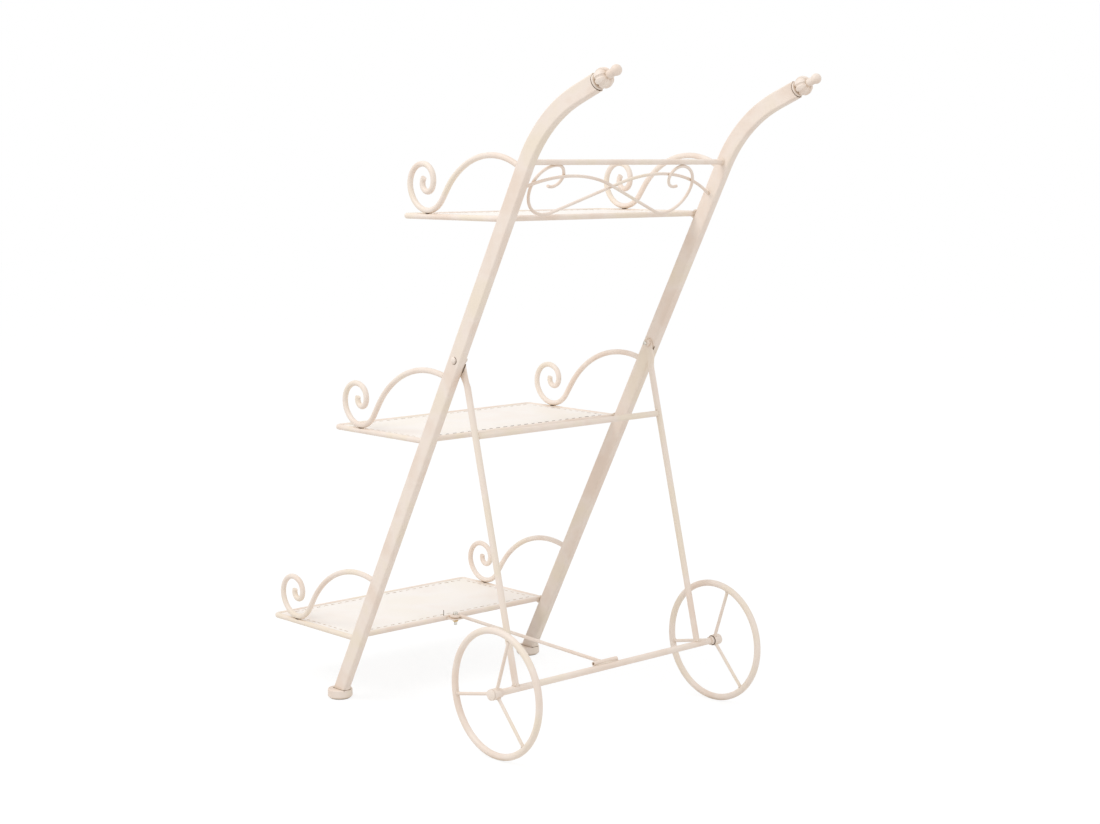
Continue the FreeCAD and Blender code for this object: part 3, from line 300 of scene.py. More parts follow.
@dataclass
class Finishes:
    """Every finish of the stand, each made once."""

    paint: bpy.types.Material = field(init=False)
    sheet_paint_lightened: bpy.types.Material = field(init=False)
    weld_paint: bpy.types.Material = field(init=False)
    slot_burr_paint: bpy.types.Material = field(init=False)
    gap: bpy.types.Material = field(init=False)
    glide: bpy.types.Material = field(init=False)
    brass: bpy.types.Material = field(init=False)
    zinc: bpy.types.Material = field(init=False)

    def __post_init__(self) -> None:
        """Make the materials."""
        # Rods and tubes look cream and satin, with painted shade, warmer and darker, where they
        # meet.
        self.paint = PowderCoat().material()
        # Painted light: the panels face the light, so their cream is mixed whiter and calmer to
        # stand in for it.
        self.sheet_paint_lightened = PowderCoat(
            name="Powder coat on sheet, cream satin", light="FAF4EE", deep="F8EFE7",
            warm="F9F2E9", shade="E2D2BF", cloud_mm=120.0).material()
        # Over weld metal the coat is dull, blotchy and pinholed.
        self.weld_paint = PowderCoat(
            name="Powder coat over weld beads", light="F1E4D8", deep="E8D9CA", warm="ECDECD",
            shade="DDCCB9", roughness=0.5, cloud_mm=7.0, peel_mm=1.1, speck_share=0.32).material()
        # The burrs round the slots get a darker tan with dark specks, which draws a broken darker
        # line.
        self.slot_burr_paint = PowderCoat(
            name="Powder coat, thin on cut edges", light="DACABA", deep="C4AF9A", warm="D8C6AC",
            shade="A8927A", roughness=0.55, cloud_mm=9.0, speck_share=0.4).material()
        # Painted shade: dark brown stands in for the shade in narrow gaps and recesses, marking
        # the joints.
        self.gap = PowderCoat(
            name="Bare steel in the gaps, rust brown", light="6B523A", deep="4A3727",
            warm="7D6040", shade="3E2E20", roughness=0.8, cloud_mm=4.0).material()
        # The pads under the feet are a dull grey edge against the cream.
        self.glide = MouldedPlastic().material()
        # The brace's nut is the one warm glint on the stand.
        self.brass = BareMetal(name="Brass, machined", bright="E0C084", dull="B5925A",
                               roughness=0.38).material()
        # The bolts' bare ends are pale, with a soft sheen.
        self.zinc = BareMetal(name="Steel, zinc plated", bright="F0EEE8", dull="D2CFC7",
                              roughness=0.6).material()

    def dress(self, material: bpy.types.Material, *cad_nodes: str) -> None:
        """Give CAD nodes their finish.

        Args:
            material: The finish.
            cad_nodes: The nodes' names.
        """
        for cad_node in cad_nodes:
            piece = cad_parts[cad_node]
            if not piece.material_slots:
                piece.data.materials.append(material)
            for slot in piece.material_slots:
                slot.material = material
            LOG.info("node %s wears %s", cad_node, material.name)


# ---------------------------------------------------------------------------- mesh helpers


def mm(x: float, y: float, z: float) -> Vector:
    """A vector given in millimetres."""
    return Vector((x * MM, y * MM, z * MM))


def box_middle(cad_node: str) -> tuple[float, float, float]:
    """The middle of a CAD node's box."""
    low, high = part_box(cad_node)
    return (0.5 * (low[0] + high[0]), 0.5 * (low[1] + high[1]), 0.5 * (low[2] + high[2]))


def finish_piece(shape: bmesh.types.BMesh, name: str, material: bpy.types.Material,
                 body: str = "stand") -> bpy.types.Object:
    """Turn a bmesh into a smooth piece that rides a body.

    Args:
        shape: The mesh, in metres, in place; it is freed.
        name: The piece's name.
        material: The finish.
        body: The CAD body that carries it.

    Returns:
        The new object.
    """
    bmesh.ops.remove_doubles(shape, verts=shape.verts, dist=MERGE)
    bmesh.ops.recalc_face_normals(shape, faces=shape.faces)
    mesh = bpy.data.meshes.new(name)
    shape.to_mesh(mesh)
    shape.free()
    mesh.polygons.foreach_set("use_smooth", [True] * len(mesh.polygons))
    mesh.materials.append(material)
    piece = bpy.data.objects.new(name, mesh)
    bpy.context.scene.collection.objects.link(piece)
    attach(piece, body)
    LOG.info("piece %s, %d faces, rides %s", name, len(mesh.polygons), body)
    return piece


def placed(shape: bmesh.types.BMesh, centre: Vector, direction: Vector) -> bmesh.types.BMesh:
    """Turn a mesh's Z axis to a direction and move its origin to a point.

    Args:
        shape: The mesh, which is changed.
        centre: Where its origin goes.
        direction: Where its Z axis points.

    Returns:
        The same mesh.
    """
    facing = direction.normalized().to_track_quat("Z", "Y").to_matrix().to_4x4()
    bmesh.ops.transform(shape, matrix=Matrix.Translation(centre) @ facing, verts=shape.verts)
    return shape


def spin(shape: bmesh.types.BMesh, profile: list[bmesh.types.BMVert | bmesh.types.BMEdge],
         steps: int) -> None:
    """Spin a profile once round Z and close the seam.

    Args:
        shape: The mesh that holds the profile.
        profile: The profile's vertices and edges.
        steps: Segments round.
    """
    bmesh.ops.spin(shape, geom=profile, cent=(0, 0, 0), axis=(0, 0, 1), dvec=(0, 0, 0),
                   angle=TURN, steps=steps, use_merge=True, use_duplicate=False)
    bmesh.ops.remove_doubles(shape, verts=shape.verts, dist=MERGE)


def turned(profile: list[tuple[float, float]], steps: int) -> bmesh.types.BMesh:
    """Turn a closed body from its profile.

    Args:
        profile: (radius, height) pairs in metres, from the lower pole to the upper one.
        steps: Segments round.

    Returns:
        The closed mesh.
    """
    shape = bmesh.new()
    verts = [shape.verts.new((radius, 0.0, height)) for radius, height in profile]
    edges = [shape.edges.new(pair) for pair in zip(verts, verts[1:])]
    spin(shape, verts + edges, steps)
    return shape


def bead(radius: float, thickness: float, centre: Vector, direction: Vector, seed: int,
         lumps: float = 0.25) -> bmesh.types.BMesh:
    """A ring of weld metal round a rod.

    Args:
        radius: The ring's radius, the rod's surface.
        thickness: The bead's own radius.
        centre: The ring's middle.
        direction: The rod's direction there.
        seed: Seed of the lumps.
        lumps: How uneven the bead is, as a share of its thickness.

    Returns:
        The bead.
    """
    luck = random.Random(seed)
    shape = bmesh.new()
    upright = Matrix.Translation((radius, 0, 0)) @ Matrix.Rotation(math.pi / 2, 4, "X")
    ring = bmesh.ops.create_circle(shape, cap_ends=False, segments=BEAD_SIDES,
                                   radius=thickness, matrix=upright)
    spin(shape, ring["verts"] + list(shape.edges), BEAD_STEPS)
    phases = [luck.uniform(0, TURN) for _ in range(3)]
    for vert in shape.verts:
        angle = math.atan2(vert.co.y, vert.co.x)
        swell = sum(math.sin(angle * k + phase) for k, phase in zip((3, 5, 8), phases)) / 3.0
        core = Vector((math.cos(angle), math.sin(angle), 0.0)) * radius
        vert.co = core + (vert.co - core) * (1.0 + lumps * swell)
    return placed(shape, centre, direction)


def dab(size: Vector, centre: Vector, direction: Vector, seed: int) -> bmesh.types.BMesh:
    """A short lump of weld metal between two rods that touch side by side.

    Args:
        size: Half lengths across, across and along.
        centre: The lump's middle.
        direction: Its long direction.
        seed: Seed of its lumps.

    Returns:
        The lump.
    """
    luck = random.Random(seed)
    shape = bmesh.new()
    bmesh.ops.create_icosphere(shape, subdivisions=3, radius=1.0)
    phases = [luck.uniform(0, 6.3) for _ in range(3)]
    for vert in shape.verts:
        swell = 1.0 + 0.08 * sum(math.sin(5.0 * c + p) for c, p in zip(vert.co, phases))
        vert.co = Vector((vert.co.x * size.x, vert.co.y * size.y, vert.co.z * size.z)) * swell
    return placed(shape, centre, direction)


def block(size: Vector, centre: Vector, direction: Vector) -> bmesh.types.BMesh:
    """A small block with eased edges.

    Args:
        size: Lengths across, across and along.
        centre: The block's middle.
        direction: Its long direction.

    Returns:
        The block.
    """
    shape = bmesh.new()
    bmesh.ops.create_cube(shape, size=1.0)
    bmesh.ops.scale(shape, vec=size, verts=shape.verts)
    bmesh.ops.bevel(shape, geom=list(shape.edges), offset=EASE * min(size),
                    offset_type="OFFSET", segments=1, profile=0.5, affect="EDGES",
                    material=-1, clamp_overlap=True)
    return placed(shape, centre, direction)


def disc_on(radius: float, thickness: float, base: Vector,
            direction: Vector) -> bmesh.types.BMesh:
    """A round disc with a soft rim.

    Args:
        radius: Its radius.
        thickness: Its thickness.
        base: The middle of its back.
        direction: Where its front faces.

    Returns:
        The disc.
    """
    rim = 0.3 * thickness
    profile = [(0.0, 0.0), (radius - rim, 0.0), (radius, rim), (radius, thickness - rim),
               (radius - rim, thickness), (0.0, thickness)]
    return placed(turned(profile, DISC_STEPS), base, direction)


def thread(radius: float, depth: float, pitch: float, length: float, base: Vector,
           direction: Vector) -> bmesh.types.BMesh:
    """The thread on a bolt's end.

    Args:
        radius: The thread's root radius.
        depth: Its depth.
        pitch: The distance between crests.
        length: How far it runs.
        base: Where it starts.
        direction: Where it runs to.

    Returns:
        The threaded end.
    """
    turns = max(2, round(length / pitch))
    profile = [(0.0, 0.0)]
    for turn in range(turns):
        profile += [(radius, turn * pitch), (radius + depth, (turn + 0.5) * pitch)]
    end = (turns + 0.4) * pitch
    profile += [(radius, turns * pitch), (radius - depth, end), (0.0, end)]
    return placed(turned(profile, THREAD_STEPS), base, direction)


def join(shapes: list[bmesh.types.BMesh]) -> bmesh.types.BMesh:
    """Put several meshes into one.

    Args:
        shapes: The meshes; they are freed.

    Returns:
        One mesh with all of them.
    """
    whole = bmesh.new()
    for shape in shapes:
        part = bpy.data.meshes.new("part")
        shape.to_mesh(part)
        shape.free()
        whole.from_mesh(part)
        bpy.data.meshes.remove(part)
    return whole


# ---------------------------------------------------------------------------- sub-assemblies


@dataclass
class Posts:
    """The two leaning box posts with their bent handles, foot cups and glides."""

    finishes: Finishes
    depth: float = 25.4 * MM
    width: float = 12.7 * MM
    spacing: float = 400.0 * MM
    cup_top: float = 15.0 * MM
    end_place: tuple[float, float] = (357.6 * MM, 944.63 * MM)  # x and z of the handle's end
    end_lean: float = math.radians(68.0)
    disc_radius: float = 11.6 * MM
    disc_thickness: float = 3.4 * MM
    ring_inset: float = 0.5 * MM  # painted shade: the dark ring where the disc meets the tube
    ring_thickness: float = 0.55 * MM
    shade_spot_size: tuple[float, float, float] = (1.5, 1.0, 1.3)  # half lengths in mm
    shade_spot_inset: float = 0.9 * MM  # painted shade: the dark spot under the handle's end
    shade_spot_sink: float = 0.1 * MM
    cup_shade_margin: float = 0.5 * MM  # painted shade: the dark line where the tube enters its cup
    cup_shade_height: float = 0.6 * MM
    cup_shade_lift: float = 0.1 * MM

    def centre_x(self, height: float) -> float:
        """Where a post's centre line is at a height."""
        return height * math.tan(LEAN) - ORIGIN_X

    def front_x(self, height: float) -> float:
        """Where a post's front face is at a height."""
        return self.centre_x(height) - 0.5 * self.depth / math.cos(LEAN)

    def back_x(self, height: float) -> float:
        """Where a post's back face is at a height."""
        return self.centre_x(height) + 0.5 * self.depth / math.cos(LEAN)

    @property
    def along(self) -> Vector:
        """The direction up a post."""
        return Vector((math.sin(LEAN), 0.0, math.cos(LEAN)))

    def build(self) -> None:
        """Dress the posts and feet; add the finials' discs and the dark marks of painted shade.
        """
        handle = Vector((math.sin(self.end_lean), 0.0, math.cos(self.end_lean)))
        below = Vector((math.cos(self.end_lean), 0.0, -math.sin(self.end_lean)))
        shade_spot_reach = 0.5 * self.depth - self.shade_spot_inset
        cup_shade_line = Vector((self.depth / math.cos(LEAN) + self.cup_shade_margin,
                           self.width + self.cup_shade_margin, self.cup_shade_height))
        for side in Side:
            word = side.word
            self.finishes.dress(self.finishes.paint, f"{word}_post", f"{word}_foot_cap",
                                f"{word}_handle_finial")
            self.finishes.dress(self.finishes.glide, f"{word}_foot_glide")
            y = side.value * 0.5 * self.spacing
            end = Vector((self.end_place[0], y, self.end_place[1]))
            disc = disc_on(self.disc_radius, self.disc_thickness, end, handle)
            finish_piece(disc, f"{word}_finial_disc", self.finishes.paint)
            shade_marks = [
                bead(self.disc_radius - self.ring_inset, self.ring_thickness, end, handle,
                     seed=13, lumps=0.1),
                dab(mm(*self.shade_spot_size), end + below * shade_spot_reach - handle * self.shade_spot_sink,
                    handle, seed=11),
                block(cup_shade_line, Vector((self.centre_x(self.cup_top), y,
                                        self.cup_top + self.cup_shade_lift)), UPWARD),
            ]
            finish_piece(join(shade_marks), f"{word}_post_seams", self.finishes.gap)


@dataclass
class Shelves:
    """Three rod frames with slotted panels, rear rails and the welds that hold them."""

    finishes: Finishes
    posts: Posts
    rod: float = 8.5 * MM
    depth: float = 204.5 * MM
    weld_lift: float = 4.4 * MM  # how far over and under the rail its welds are
    weld_inset: float = 5.2 * MM
    weld_clear: float = 0.3 * MM
    weld_sink: float = 0.4 * MM
    weld_size: tuple[float, float, float] = (1.5, 2.2, 4.2)  # half lengths in mm
    slot_inset: float = 12.0 * MM
    slot_pitch: float = 14.5 * MM
    cross_slots: int = 26
    side_slots: int = 11
    burr_width: float = 2.2 * MM
    burr_length: float = 8.6 * MM
    burr_height: float = 0.5 * MM
    side_burr_share: float = 0.4  # the burrs along the sides stand up less

    def burrs(self, top: float, row_x: list[float], rail_x: float, sides: tuple[Side, ...],
              seed: int) -> bmesh.types.BMesh:
        """The edges that stand up round the punched slots.

        Args:
            top: The panel's top.
            row_x: Where the rows across the panel are.
            rail_x: Where its rear rail is.
            sides: The sides that get a row along them.
            seed: Seed of their uneven sizes.

        Returns:
            All the burrs of those rows.
        """
        luck = random.Random(seed)
        places: list[tuple[Vector, Vector, float]] = []
        across = 0.5 * (self.cross_slots - 1) * self.slot_pitch
        for x in row_x:
            for number in range(self.cross_slots):
                place = Vector((x, number * self.slot_pitch - across, top))
                places.append((place, ACROSS, self.burr_height))
        first_x = rail_x - 0.5 * self.depth - 0.5 * (self.side_slots - 1) * self.slot_pitch
        for side in sides:
            y = side.value * (0.5 * self.posts.spacing - self.slot_inset)
            for number in range(self.side_slots):
                place = Vector((first_x + number * self.slot_pitch, y, top))
                places.append((place, BACKWARD, self.side_burr_share * self.burr_height))
        shapes: list[bmesh.types.BMesh] = []
        for place, direction, height in places:
            uneven_height = height * luck.uniform(0.5, 1.3)
            uneven_length = self.burr_length * luck.uniform(0.5, 1.0)
            shapes.append(block(Vector((self.burr_width, uneven_height, uneven_length)),
                                place, direction))
        return join(shapes)

    def rail_welds(self, shelf: Shelf) -> bmesh.types.BMesh:
        """The beads that hold a rear rail to both posts.

        Args:
            shelf: The rail's shelf.

        Returns:
            All its beads.
        """
        face = Vector((-math.cos(LEAN), 0.0, math.sin(LEAN)))
        beads: list[bmesh.types.BMesh] = []
        for side in Side:
            y = side.value * 0.5 * self.posts.spacing
            contact = Vector((self.posts.front_x(shelf.value), y, shelf.value))
            beads.append(bead(0.5 * self.rod + self.weld_clear, WELD, contact, face,
                              seed=int(shelf.value * 1e3)))
            inner = y - side.value * self.weld_inset
            for lift in (self.weld_lift, -self.weld_lift):
                height = shelf.value + lift
                place = Vector((self.posts.front_x(height) - self.weld_sink, inner, height))
                beads.append(dab(mm(*self.weld_size), place, ACROSS, seed=int(height * 1e4)))
        return join(beads)

    def build(self) -> None:
        """Dress the shelves, and add their weld beads and the burrs of their slots."""
        for shelf in Shelf:
            word = shelf.word
            self.finishes.dress(self.finishes.paint, f"{word}_shelf_frame",
                                f"{word}_shelf_rear_rail")
            self.finishes.dress(self.finishes.sheet_paint_lightened, f"{word}_shelf_panel")
            finish_piece(self.rail_welds(shelf), f"{word}_shelf_welds",
                         self.finishes.weld_paint)
            rail_x = box_middle(f"{word}_shelf_rear_rail")[0]
            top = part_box(f"{word}_shelf_panel")[1][2]
            rows = [rail_x - self.slot_inset, rail_x + self.slot_inset - self.depth]
            # The middle shelf's rear row gets the gaps' dark brown.
            dark_row = rows[:1] if shelf is Shelf.MIDDLE else []
            coated = self.burrs(top, [x for x in rows if x not in dark_row], rail_x, tuple(Side),
                                seed=17)
            finish_piece(coated, f"{word}_slot_burrs", self.finishes.slot_burr_paint)
            if dark_row:
                finish_piece(self.burrs(top, dark_row, rail_x, (), seed=23),
                             f"{word}_worn_slot_burrs", self.finishes.gap)


@dataclass
class Scrolls:
    """The six side scrolls, welded to the post above and to the shelf's rod at the bottom."""

    finishes: Finishes
    posts: Posts
    rod: float = 8.5 * MM
    end_slope: float = math.radians(-36.0)
    weld_size: tuple[float, float, float] = (1.1, 1.5, 4.6)  # half lengths in mm
    weld_shift: tuple[float, float, float] = (0.8, 0.0, 0.1)  # from the touch, in mm
    gap_size: tuple[float, float, float] = (0.9, 0.8, 4.2)  # half lengths in mm
    gap_shift: float = 1.5  # from the touch, in mm
    gap_spread: float = 2.0  # from the rod's middle to either side, in mm
    touch_x: dict[Shelf, float] = field(default_factory=lambda: {
        Shelf.BOTTOM: -336.2, Shelf.MIDDLE: -160.7, Shelf.TOP: 6.8})  # in mm
    end_z: dict[Shelf, float] = field(default_factory=lambda: {
        Shelf.BOTTOM: 205.8, Shelf.MIDDLE: 535.8, Shelf.TOP: 838.8})  # in mm

    def build(self) -> None:
        """Dress the scrolls, and add a weld and a dark gap of painted shade at each touch."""
        slope = Vector((math.cos(self.end_slope), 0, math.sin(self.end_slope)))
        for shelf in Shelf:
            for side in Side:
                name = f"{side.word}_{shelf.word}_scroll"
                self.finishes.dress(self.finishes.paint, name)
                y = side.value * 0.5 * self.posts.spacing
                touch = Vector((self.touch_x[shelf] * MM, y, shelf.value + 0.5 * self.rod))
                end_z = self.end_z[shelf] * MM
                end = Vector((self.posts.front_x(end_z), y, end_z))
                welds = [dab(mm(*self.weld_size), touch + mm(*self.weld_shift), BACKWARD,
                             seed=31 + int(touch.x * 1e3)),
                         bead(0.5 * self.rod, WELD, end, slope, seed=57 + int(end.x * 1e3))]
                finish_piece(join(welds), f"{name}_welds", self.finishes.weld_paint)
                # Painted shade: two dark dabs stand in for the shade in the gap beside the touch.
                gaps = [dab(mm(*self.gap_size),
                            touch + mm(self.gap_shift, out * self.gap_spread, 0.0), BACKWARD,
                            seed=41 + out) for out in (-1, 1)]
                finish_piece(join(gaps), f"{name}_gaps", self.finishes.gap)


@dataclass
class BackOfTopShelf:
    """The bar between the posts behind the top shelf and the two curling wires under it."""

    finishes: Finishes
    bar_radius: float = 4.0 * MM

    def build(self) -> None:
        """Dress the bar and wires, and weld the bar's ends."""
        self.finishes.dress(self.finishes.paint, "back_bar", "left_filigree_wire",
                            "right_filigree_wire")
        low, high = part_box("back_bar")
        x, _, z = box_middle("back_bar")
        beads = [bead(self.bar_radius, WELD, Vector((x, y, z)), ACROSS, seed=seed)
                 for seed, y in ((81, low[1]), (82, high[1]))]
        finish_piece(join(beads), "back_bar_welds", self.finishes.weld_paint)


@dataclass
class StrutFrame:
    """The two struts, the bar across them, their bolts, the axle and the shelf's brace."""

    finishes: Finishes
    posts: Posts
    bolt_radius: float = 3.0 * MM
    brace_bolt_radius: float = 2.5 * MM
    thread_depth: float = 0.25 * MM
    thread_pitch: float = 0.9 * MM
    thread_length: float = 2.4 * MM
    thread_start: float = 1.6 * MM  # how far inside the bolt's end it starts
    brace_pitch: float = 0.8 * MM
    brace_thread_length: float = 5.4 * MM
    brace_thread_start: float = 5.9 * MM
    head_radius: float = 5.5 * MM
    ring_inset: float = 0.3 * MM
    ring_thickness: float = 0.5 * MM
    ring_shift: tuple[float, float] = (0.8 * MM, -0.3 * MM)  # the painted shade ring sits askew under the head
    flat_drop: float = 12.0 * MM  # from the bolt down to the middle of the flat's gap
    flat_gap: tuple[float, float, float] = (1.3, 1.0, 15.0)  # across, across and along, in mm
    flat_clear: float = 0.2 * MM
    bar_radius: float = 4.65 * MM
    bar_weld_inset: float = 4.2 * MM
    strut_radius: float = 4.8 * MM
    strut_plane: float = 188.85 * MM
    strut_slope: float = 0.2455  # how far a strut leans back to the post for a unit of height
    foot_height: float = 100.6 * MM
    foot_weld: float = 1.2 * MM
    sleeve_weld: tuple[float, float, float] = (1.5, 1.5, 22.5)  # half lengths in mm
    pin_size: tuple[float, float, float] = (0.9, 0.9, 9.6)  # in mm
    pin_place: tuple[float, float] = (-191.6 * MM, -12.9 * MM)
    pin_lift: float = 4.4 * MM

    def strut_welds(self) -> bmesh.types.BMesh:
        """The beads at the bar's ends, round the struts' feet and along the brace's sleeve.

        Returns:
            All the beads.
        """
        beads: list[bmesh.types.BMesh] = []
        bar_x, _, bar_z = box_middle("crossbar")
        axle_x, _, axle_z = box_middle("axle")
        foot_x = axle_x - (self.foot_height - axle_z) * self.strut_slope
        for side in Side:
            plane = side.value * self.strut_plane
            bar_end = Vector((bar_x, plane - side.value * self.bar_weld_inset, bar_z))
            beads.append(bead(self.bar_radius, WELD, bar_end, ACROSS,
                              seed=91 + int(side.value)))
            beads.append(bead(self.strut_radius, self.foot_weld,
                              Vector((foot_x, plane, self.foot_height)),
                              Vector((-self.strut_slope, 0, 1.0)), seed=95 + int(side.value)))
        middle = box_middle("brace_sleeve")[1]
        for x, z in ((-0.5 * MM, 5.3 * MM), (-4.4 * MM, 3.1 * MM)):
            beads.append(dab(mm(*self.sleeve_weld), Vector((axle_x + x, middle, axle_z + z)),
                             ACROSS, seed=99))
        return join(beads)

    def bolt_details(self) -> None:
        """Add the painted shade round the bolt heads and behind the flats, and the threads."""
        gaps: list[bmesh.types.BMesh] = []
        ends: list[bmesh.types.BMesh] = []
        outer = 0.5 * (self.posts.spacing + self.posts.width)
        inner = 0.5 * (self.posts.spacing - self.posts.width)
        for side in Side:
            bolt = f"{side.word}_strut_bolt"
            low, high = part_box(bolt)
            x, _, z = box_middle(bolt)
            ring = Vector((x + self.ring_shift[0], side.value * outer, z + self.ring_shift[1]))
            gaps.append(bead(self.head_radius - self.ring_inset, self.ring_thickness, ring,
                             ACROSS, seed=61, lumps=0.4))
            foot = z - self.flat_drop
            behind = Vector((self.posts.back_x(foot) + self.flat_clear,
                             side.value * (inner - self.flat_clear), foot))
            gaps.append(block(mm(*self.flat_gap), behind, self.posts.along))
            tail = high[1] if side is Side.LEFT else low[1]
            start = Vector((x, tail + side.value * self.thread_start, z))
            ends.append(thread(self.bolt_radius, self.thread_depth, self.thread_pitch,
                               self.thread_length, start, Vector((0, -side.value, 0))))
        finish_piece(join(gaps), "strut_bolt_gaps", self.finishes.gap)
        x, y, _ = box_middle("brace_bolt")
        start = Vector((x, y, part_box("brace_bolt")[0][2] + self.brace_thread_start))
        ends.append(thread(self.brace_bolt_radius, self.thread_depth, self.brace_pitch,
                           self.brace_thread_length, start, -UPWARD))
        finish_piece(join(ends), "bolt_threads", self.finishes.zinc)

    def build(self) -> None:
        """Dress the strut frame; add its welds, painted shade, threads and the rail's pin."""
        for side in Side:
            for part in ("strut", "strut_bolt", "strut_nut", "axle_collar", "axle_cap"):
                self.finishes.dress(self.finishes.paint, f"{side.word}_{part}")
        self.finishes.dress(self.finishes.paint, "crossbar", "axle", "brace_rod",
                            "brace_sleeve", "brace_tab")
        self.finishes.dress(self.finishes.brass, "brace_nut")
        self.finishes.dress(self.finishes.zinc, "brace_bolt")
        finish_piece(self.strut_welds(), "strut_welds", self.finishes.weld_paint)
        self.bolt_details()
        # The pin on the rail takes the same dark brown.
        rail_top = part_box("bottom_shelf_rear_rail")[1][2]
        pin = block(mm(*self.pin_size), Vector((*self.pin_place, rail_top + self.pin_lift)),
                    UPWARD)
        finish_piece(pin, "rail_pin", self.finishes.gap)


@dataclass
class Wheel:
    """A wheel: a rod bent to a ring, three spokes and a hub, which turn together."""

    finishes: Finishes
    side: Side
    centre_x: float = 183.85 * MM
    centre_z: float = 95.5 * MM
    plane: float = 227.0 * MM
    rim_inner: float = 85.5 * MM
    hub_outer: float = 8.25 * MM
    spokes: int = 3
    first_spoke: float = 71.5  # in degrees up from straight back
    spoke_bead: float = 2.5 * MM
    rim_weld: float = 1.0 * MM
    hub_weld: float = 0.9 * MM
    weld_root: float = 0.2 * MM  # how far a spoke's bead stands off the rim or the hub
    recess_radius: float = 7.15 * MM
    recess_thickness: float = 0.5 * MM

    def build(self) -> None:
        """Dress the wheel, and add its weld beads and the painted shade of the collar's recess.
        """
        body = f"{self.side.word}_wheel"
        self.finishes.dress(self.finishes.paint, f"{body}_rim", f"{body}_hub",
                            *(f"{body}_spoke_{number + 1}" for number in range(self.spokes)))
        middle = Vector((self.centre_x, self.side.value * self.plane, self.centre_z))
        inward = Vector((0, -self.side.value, 0))
        hub_low, hub_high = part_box(f"{body}_hub")
        hub_face = hub_low[1] if self.side is Side.RIGHT else hub_high[1]
        face = Vector((self.centre_x, hub_face, self.centre_z))
        # Painted shade: a dark ring on the hub's face stands in for the shaded recess.
        recess = bead(self.recess_radius, self.recess_thickness,
                      face + inward * 0.5 * self.recess_thickness, inward, seed=121, lumps=0.0)
        finish_piece(recess, f"{self.side.word}_hub_recess", self.finishes.gap, body)
        beads: list[bmesh.types.BMesh] = []
        for number in range(self.spokes):
            angle = math.radians(self.first_spoke + 360.0 / self.spokes * number)
            ray = Vector((math.cos(angle), 0.0, math.sin(angle)))
            at_rim = middle + ray * (self.rim_inner - self.weld_root)
            at_hub = middle + ray * (self.hub_outer + self.weld_root)
            beads.append(bead(self.spoke_bead, self.rim_weld, at_rim, ray, seed=101 + number))
            beads.append(bead(self.spoke_bead, self.hub_weld, at_hub, ray, seed=111 + number))
        finish_piece(join(beads), f"{body}_welds", self.finishes.weld_paint, body)


# ---------------------------------------------------------------------------- studio


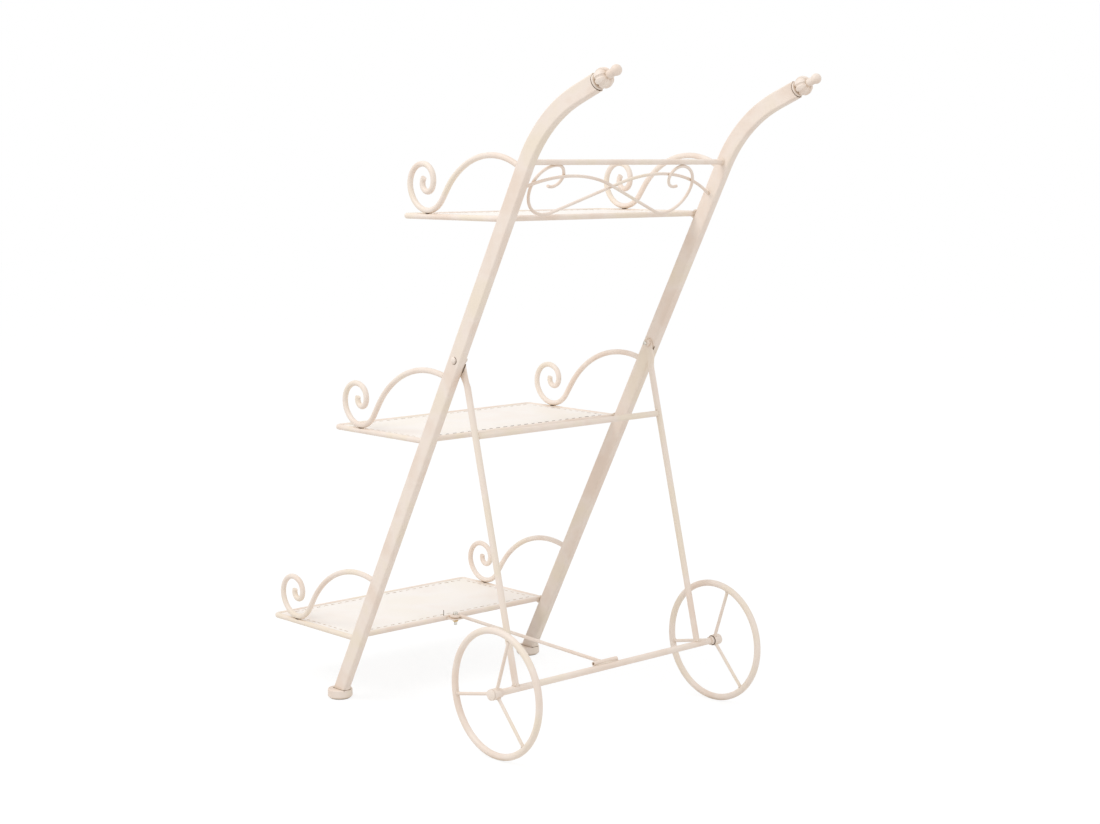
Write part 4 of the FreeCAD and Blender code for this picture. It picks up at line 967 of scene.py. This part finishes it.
@dataclass
class Studio:
    """A white sweep, soft lights and the camera at the photograph's viewing angle."""

    camera_place: tuple[float, float, float] = (2.1798, -1.9639, 0.8461)
    azimuth: float = 47.32
    pitch: float = 7.51
    sensor: float = 36.0
    lens: float = 62.95
    sight: float = 60.0  # how far the camera sees, in metres
    sky_strength: float = 0.80
    floor_reach: float = 12.0
    floor_seen: float = 0.20
    floor_glow: float = 0.84
    floor_bounce: str = "E4E1DE"
    aim: tuple[float, float, float] = (0.0, 0.0, 0.45)

    def camera(self) -> None:
        """Place the camera."""
        data = bpy.data.cameras.new("camera")
        data.sensor_width = self.sensor
        data.lens = self.lens
        data.clip_end = self.sight
        seen = bpy.data.objects.new("camera", data)
        seen.location = self.camera_place
        seen.rotation_euler = (math.radians(90.0 - self.pitch), 0.0, math.radians(self.azimuth))
        bpy.context.scene.collection.objects.link(seen)
        bpy.context.scene.camera = seen

    def lamp(self, name: str, place: tuple[float, float, float], size: float,
             power: float) -> None:
        """Add a square soft lamp that faces the object.

        Args:
            name: The lamp's name.
            place: Where it hangs, in metres.
            size: Its width.
            power: Its power in watts.
        """
        data = bpy.data.lights.new(name, "AREA")
        data.shape = "SQUARE"
        data.size = size
        data.energy = power
        light = bpy.data.objects.new(name, data)
        light.location = place
        ray = Vector(self.aim) - Vector(place)
        light.rotation_euler = ray.to_track_quat("-Z", "Y").to_euler()
        bpy.context.scene.collection.objects.link(light)

    def world(self) -> None:
        """Light the room evenly and show white behind the object."""
        world = bpy.data.worlds.new("studio")
        world.use_nodes = True
        tree = world.node_tree
        tree.nodes.clear()
        path = node(tree, "ShaderNodeLightPath")
        direct = node(tree, "ShaderNodeMath", {"operation": "MAXIMUM"},
                      {0: path.outputs["Is Camera Ray"], 1: path.outputs["Is Glossy Ray"]})
        seen = node(tree, "ShaderNodeMath", {"operation": "MAXIMUM"},
                    {0: direct.outputs[0], 1: path.outputs["Is Transmission Ray"]})
        strength = node(tree, "ShaderNodeMapRange",
                        {"To Min": self.sky_strength, "To Max": 1.0},
                        {"Value": seen.outputs[0]})
        sky = node(tree, "ShaderNodeBackground", {"Color": WHITE},
                   {"Strength": strength.outputs["Result"]})
        node(tree, "ShaderNodeOutputWorld", links={"Surface": sky.outputs[0]})
        bpy.context.scene.world = world

    def paper(self) -> bpy.types.Material:
        """Make the floor's paper, which glows to white but still takes a soft shadow.

        Returns:
            The material.
        """
        material = bpy.data.materials.new("Paper sweep, white")
        material.use_nodes = True
        tree = material.node_tree
        tree.nodes.clear()
        bounce = node(tree, "ShaderNodeBsdfDiffuse", {"Color": linear(self.floor_bounce)})
        paper = node(tree, "ShaderNodeBsdfDiffuse", {"Color": (self.floor_seen,) * 3 + (1.0,)})
        glow = node(tree, "ShaderNodeEmission", {"Color": WHITE, "Strength": self.floor_glow})
        shown = node(tree, "ShaderNodeAddShader",
                     links={0: paper.outputs[0], 1: glow.outputs[0]})
        path = node(tree, "ShaderNodeLightPath")
        direct = node(tree, "ShaderNodeMath", {"operation": "MAXIMUM"},
                      {0: path.outputs["Is Camera Ray"], 1: path.outputs["Is Glossy Ray"]})
        sheet = node(tree, "ShaderNodeMixShader",
                     links={0: direct.outputs[0], 1: bounce.outputs[0], 2: shown.outputs[0]})
        close_material(tree, sheet)
        return material

    def floor(self) -> None:
        """Lay the white floor, which keeps the object's soft shadow."""
        shape = bmesh.new()
        bmesh.ops.create_grid(shape, x_segments=1, y_segments=1, size=self.floor_reach)
        mesh = bpy.data.meshes.new("floor")
        shape.to_mesh(mesh)
        shape.free()
        mesh.materials.append(self.paper())
        floor = bpy.data.objects.new("floor", mesh)
        bpy.context.scene.collection.objects.link(floor)

    def build(self) -> None:
        """Set the whole studio."""
        self.camera()
        self.world()
        self.floor()
        self.lamp("key", (-0.5, -1.9, 3.0), 1.6, 31.0)
        self.lamp("fill", (3.2, 0.2, 1.4), 2.4, 8.0)
        bpy.context.scene.view_settings.view_transform = "Standard"


def main() -> None:
    """Build the studio, then dress each sub-assembly in order."""
    logging.basicConfig(level=logging.INFO, format="%(name)s: %(message)s")
    Studio().build()
    finishes = Finishes()
    posts = Posts(finishes)
    posts.build()
    Shelves(finishes, posts).build()
    Scrolls(finishes, posts).build()
    BackOfTopShelf(finishes).build()
    StrutFrame(finishes, posts).build()
    for side in Side:
        Wheel(finishes, side).build()


if __name__ == "__main__":
    main()
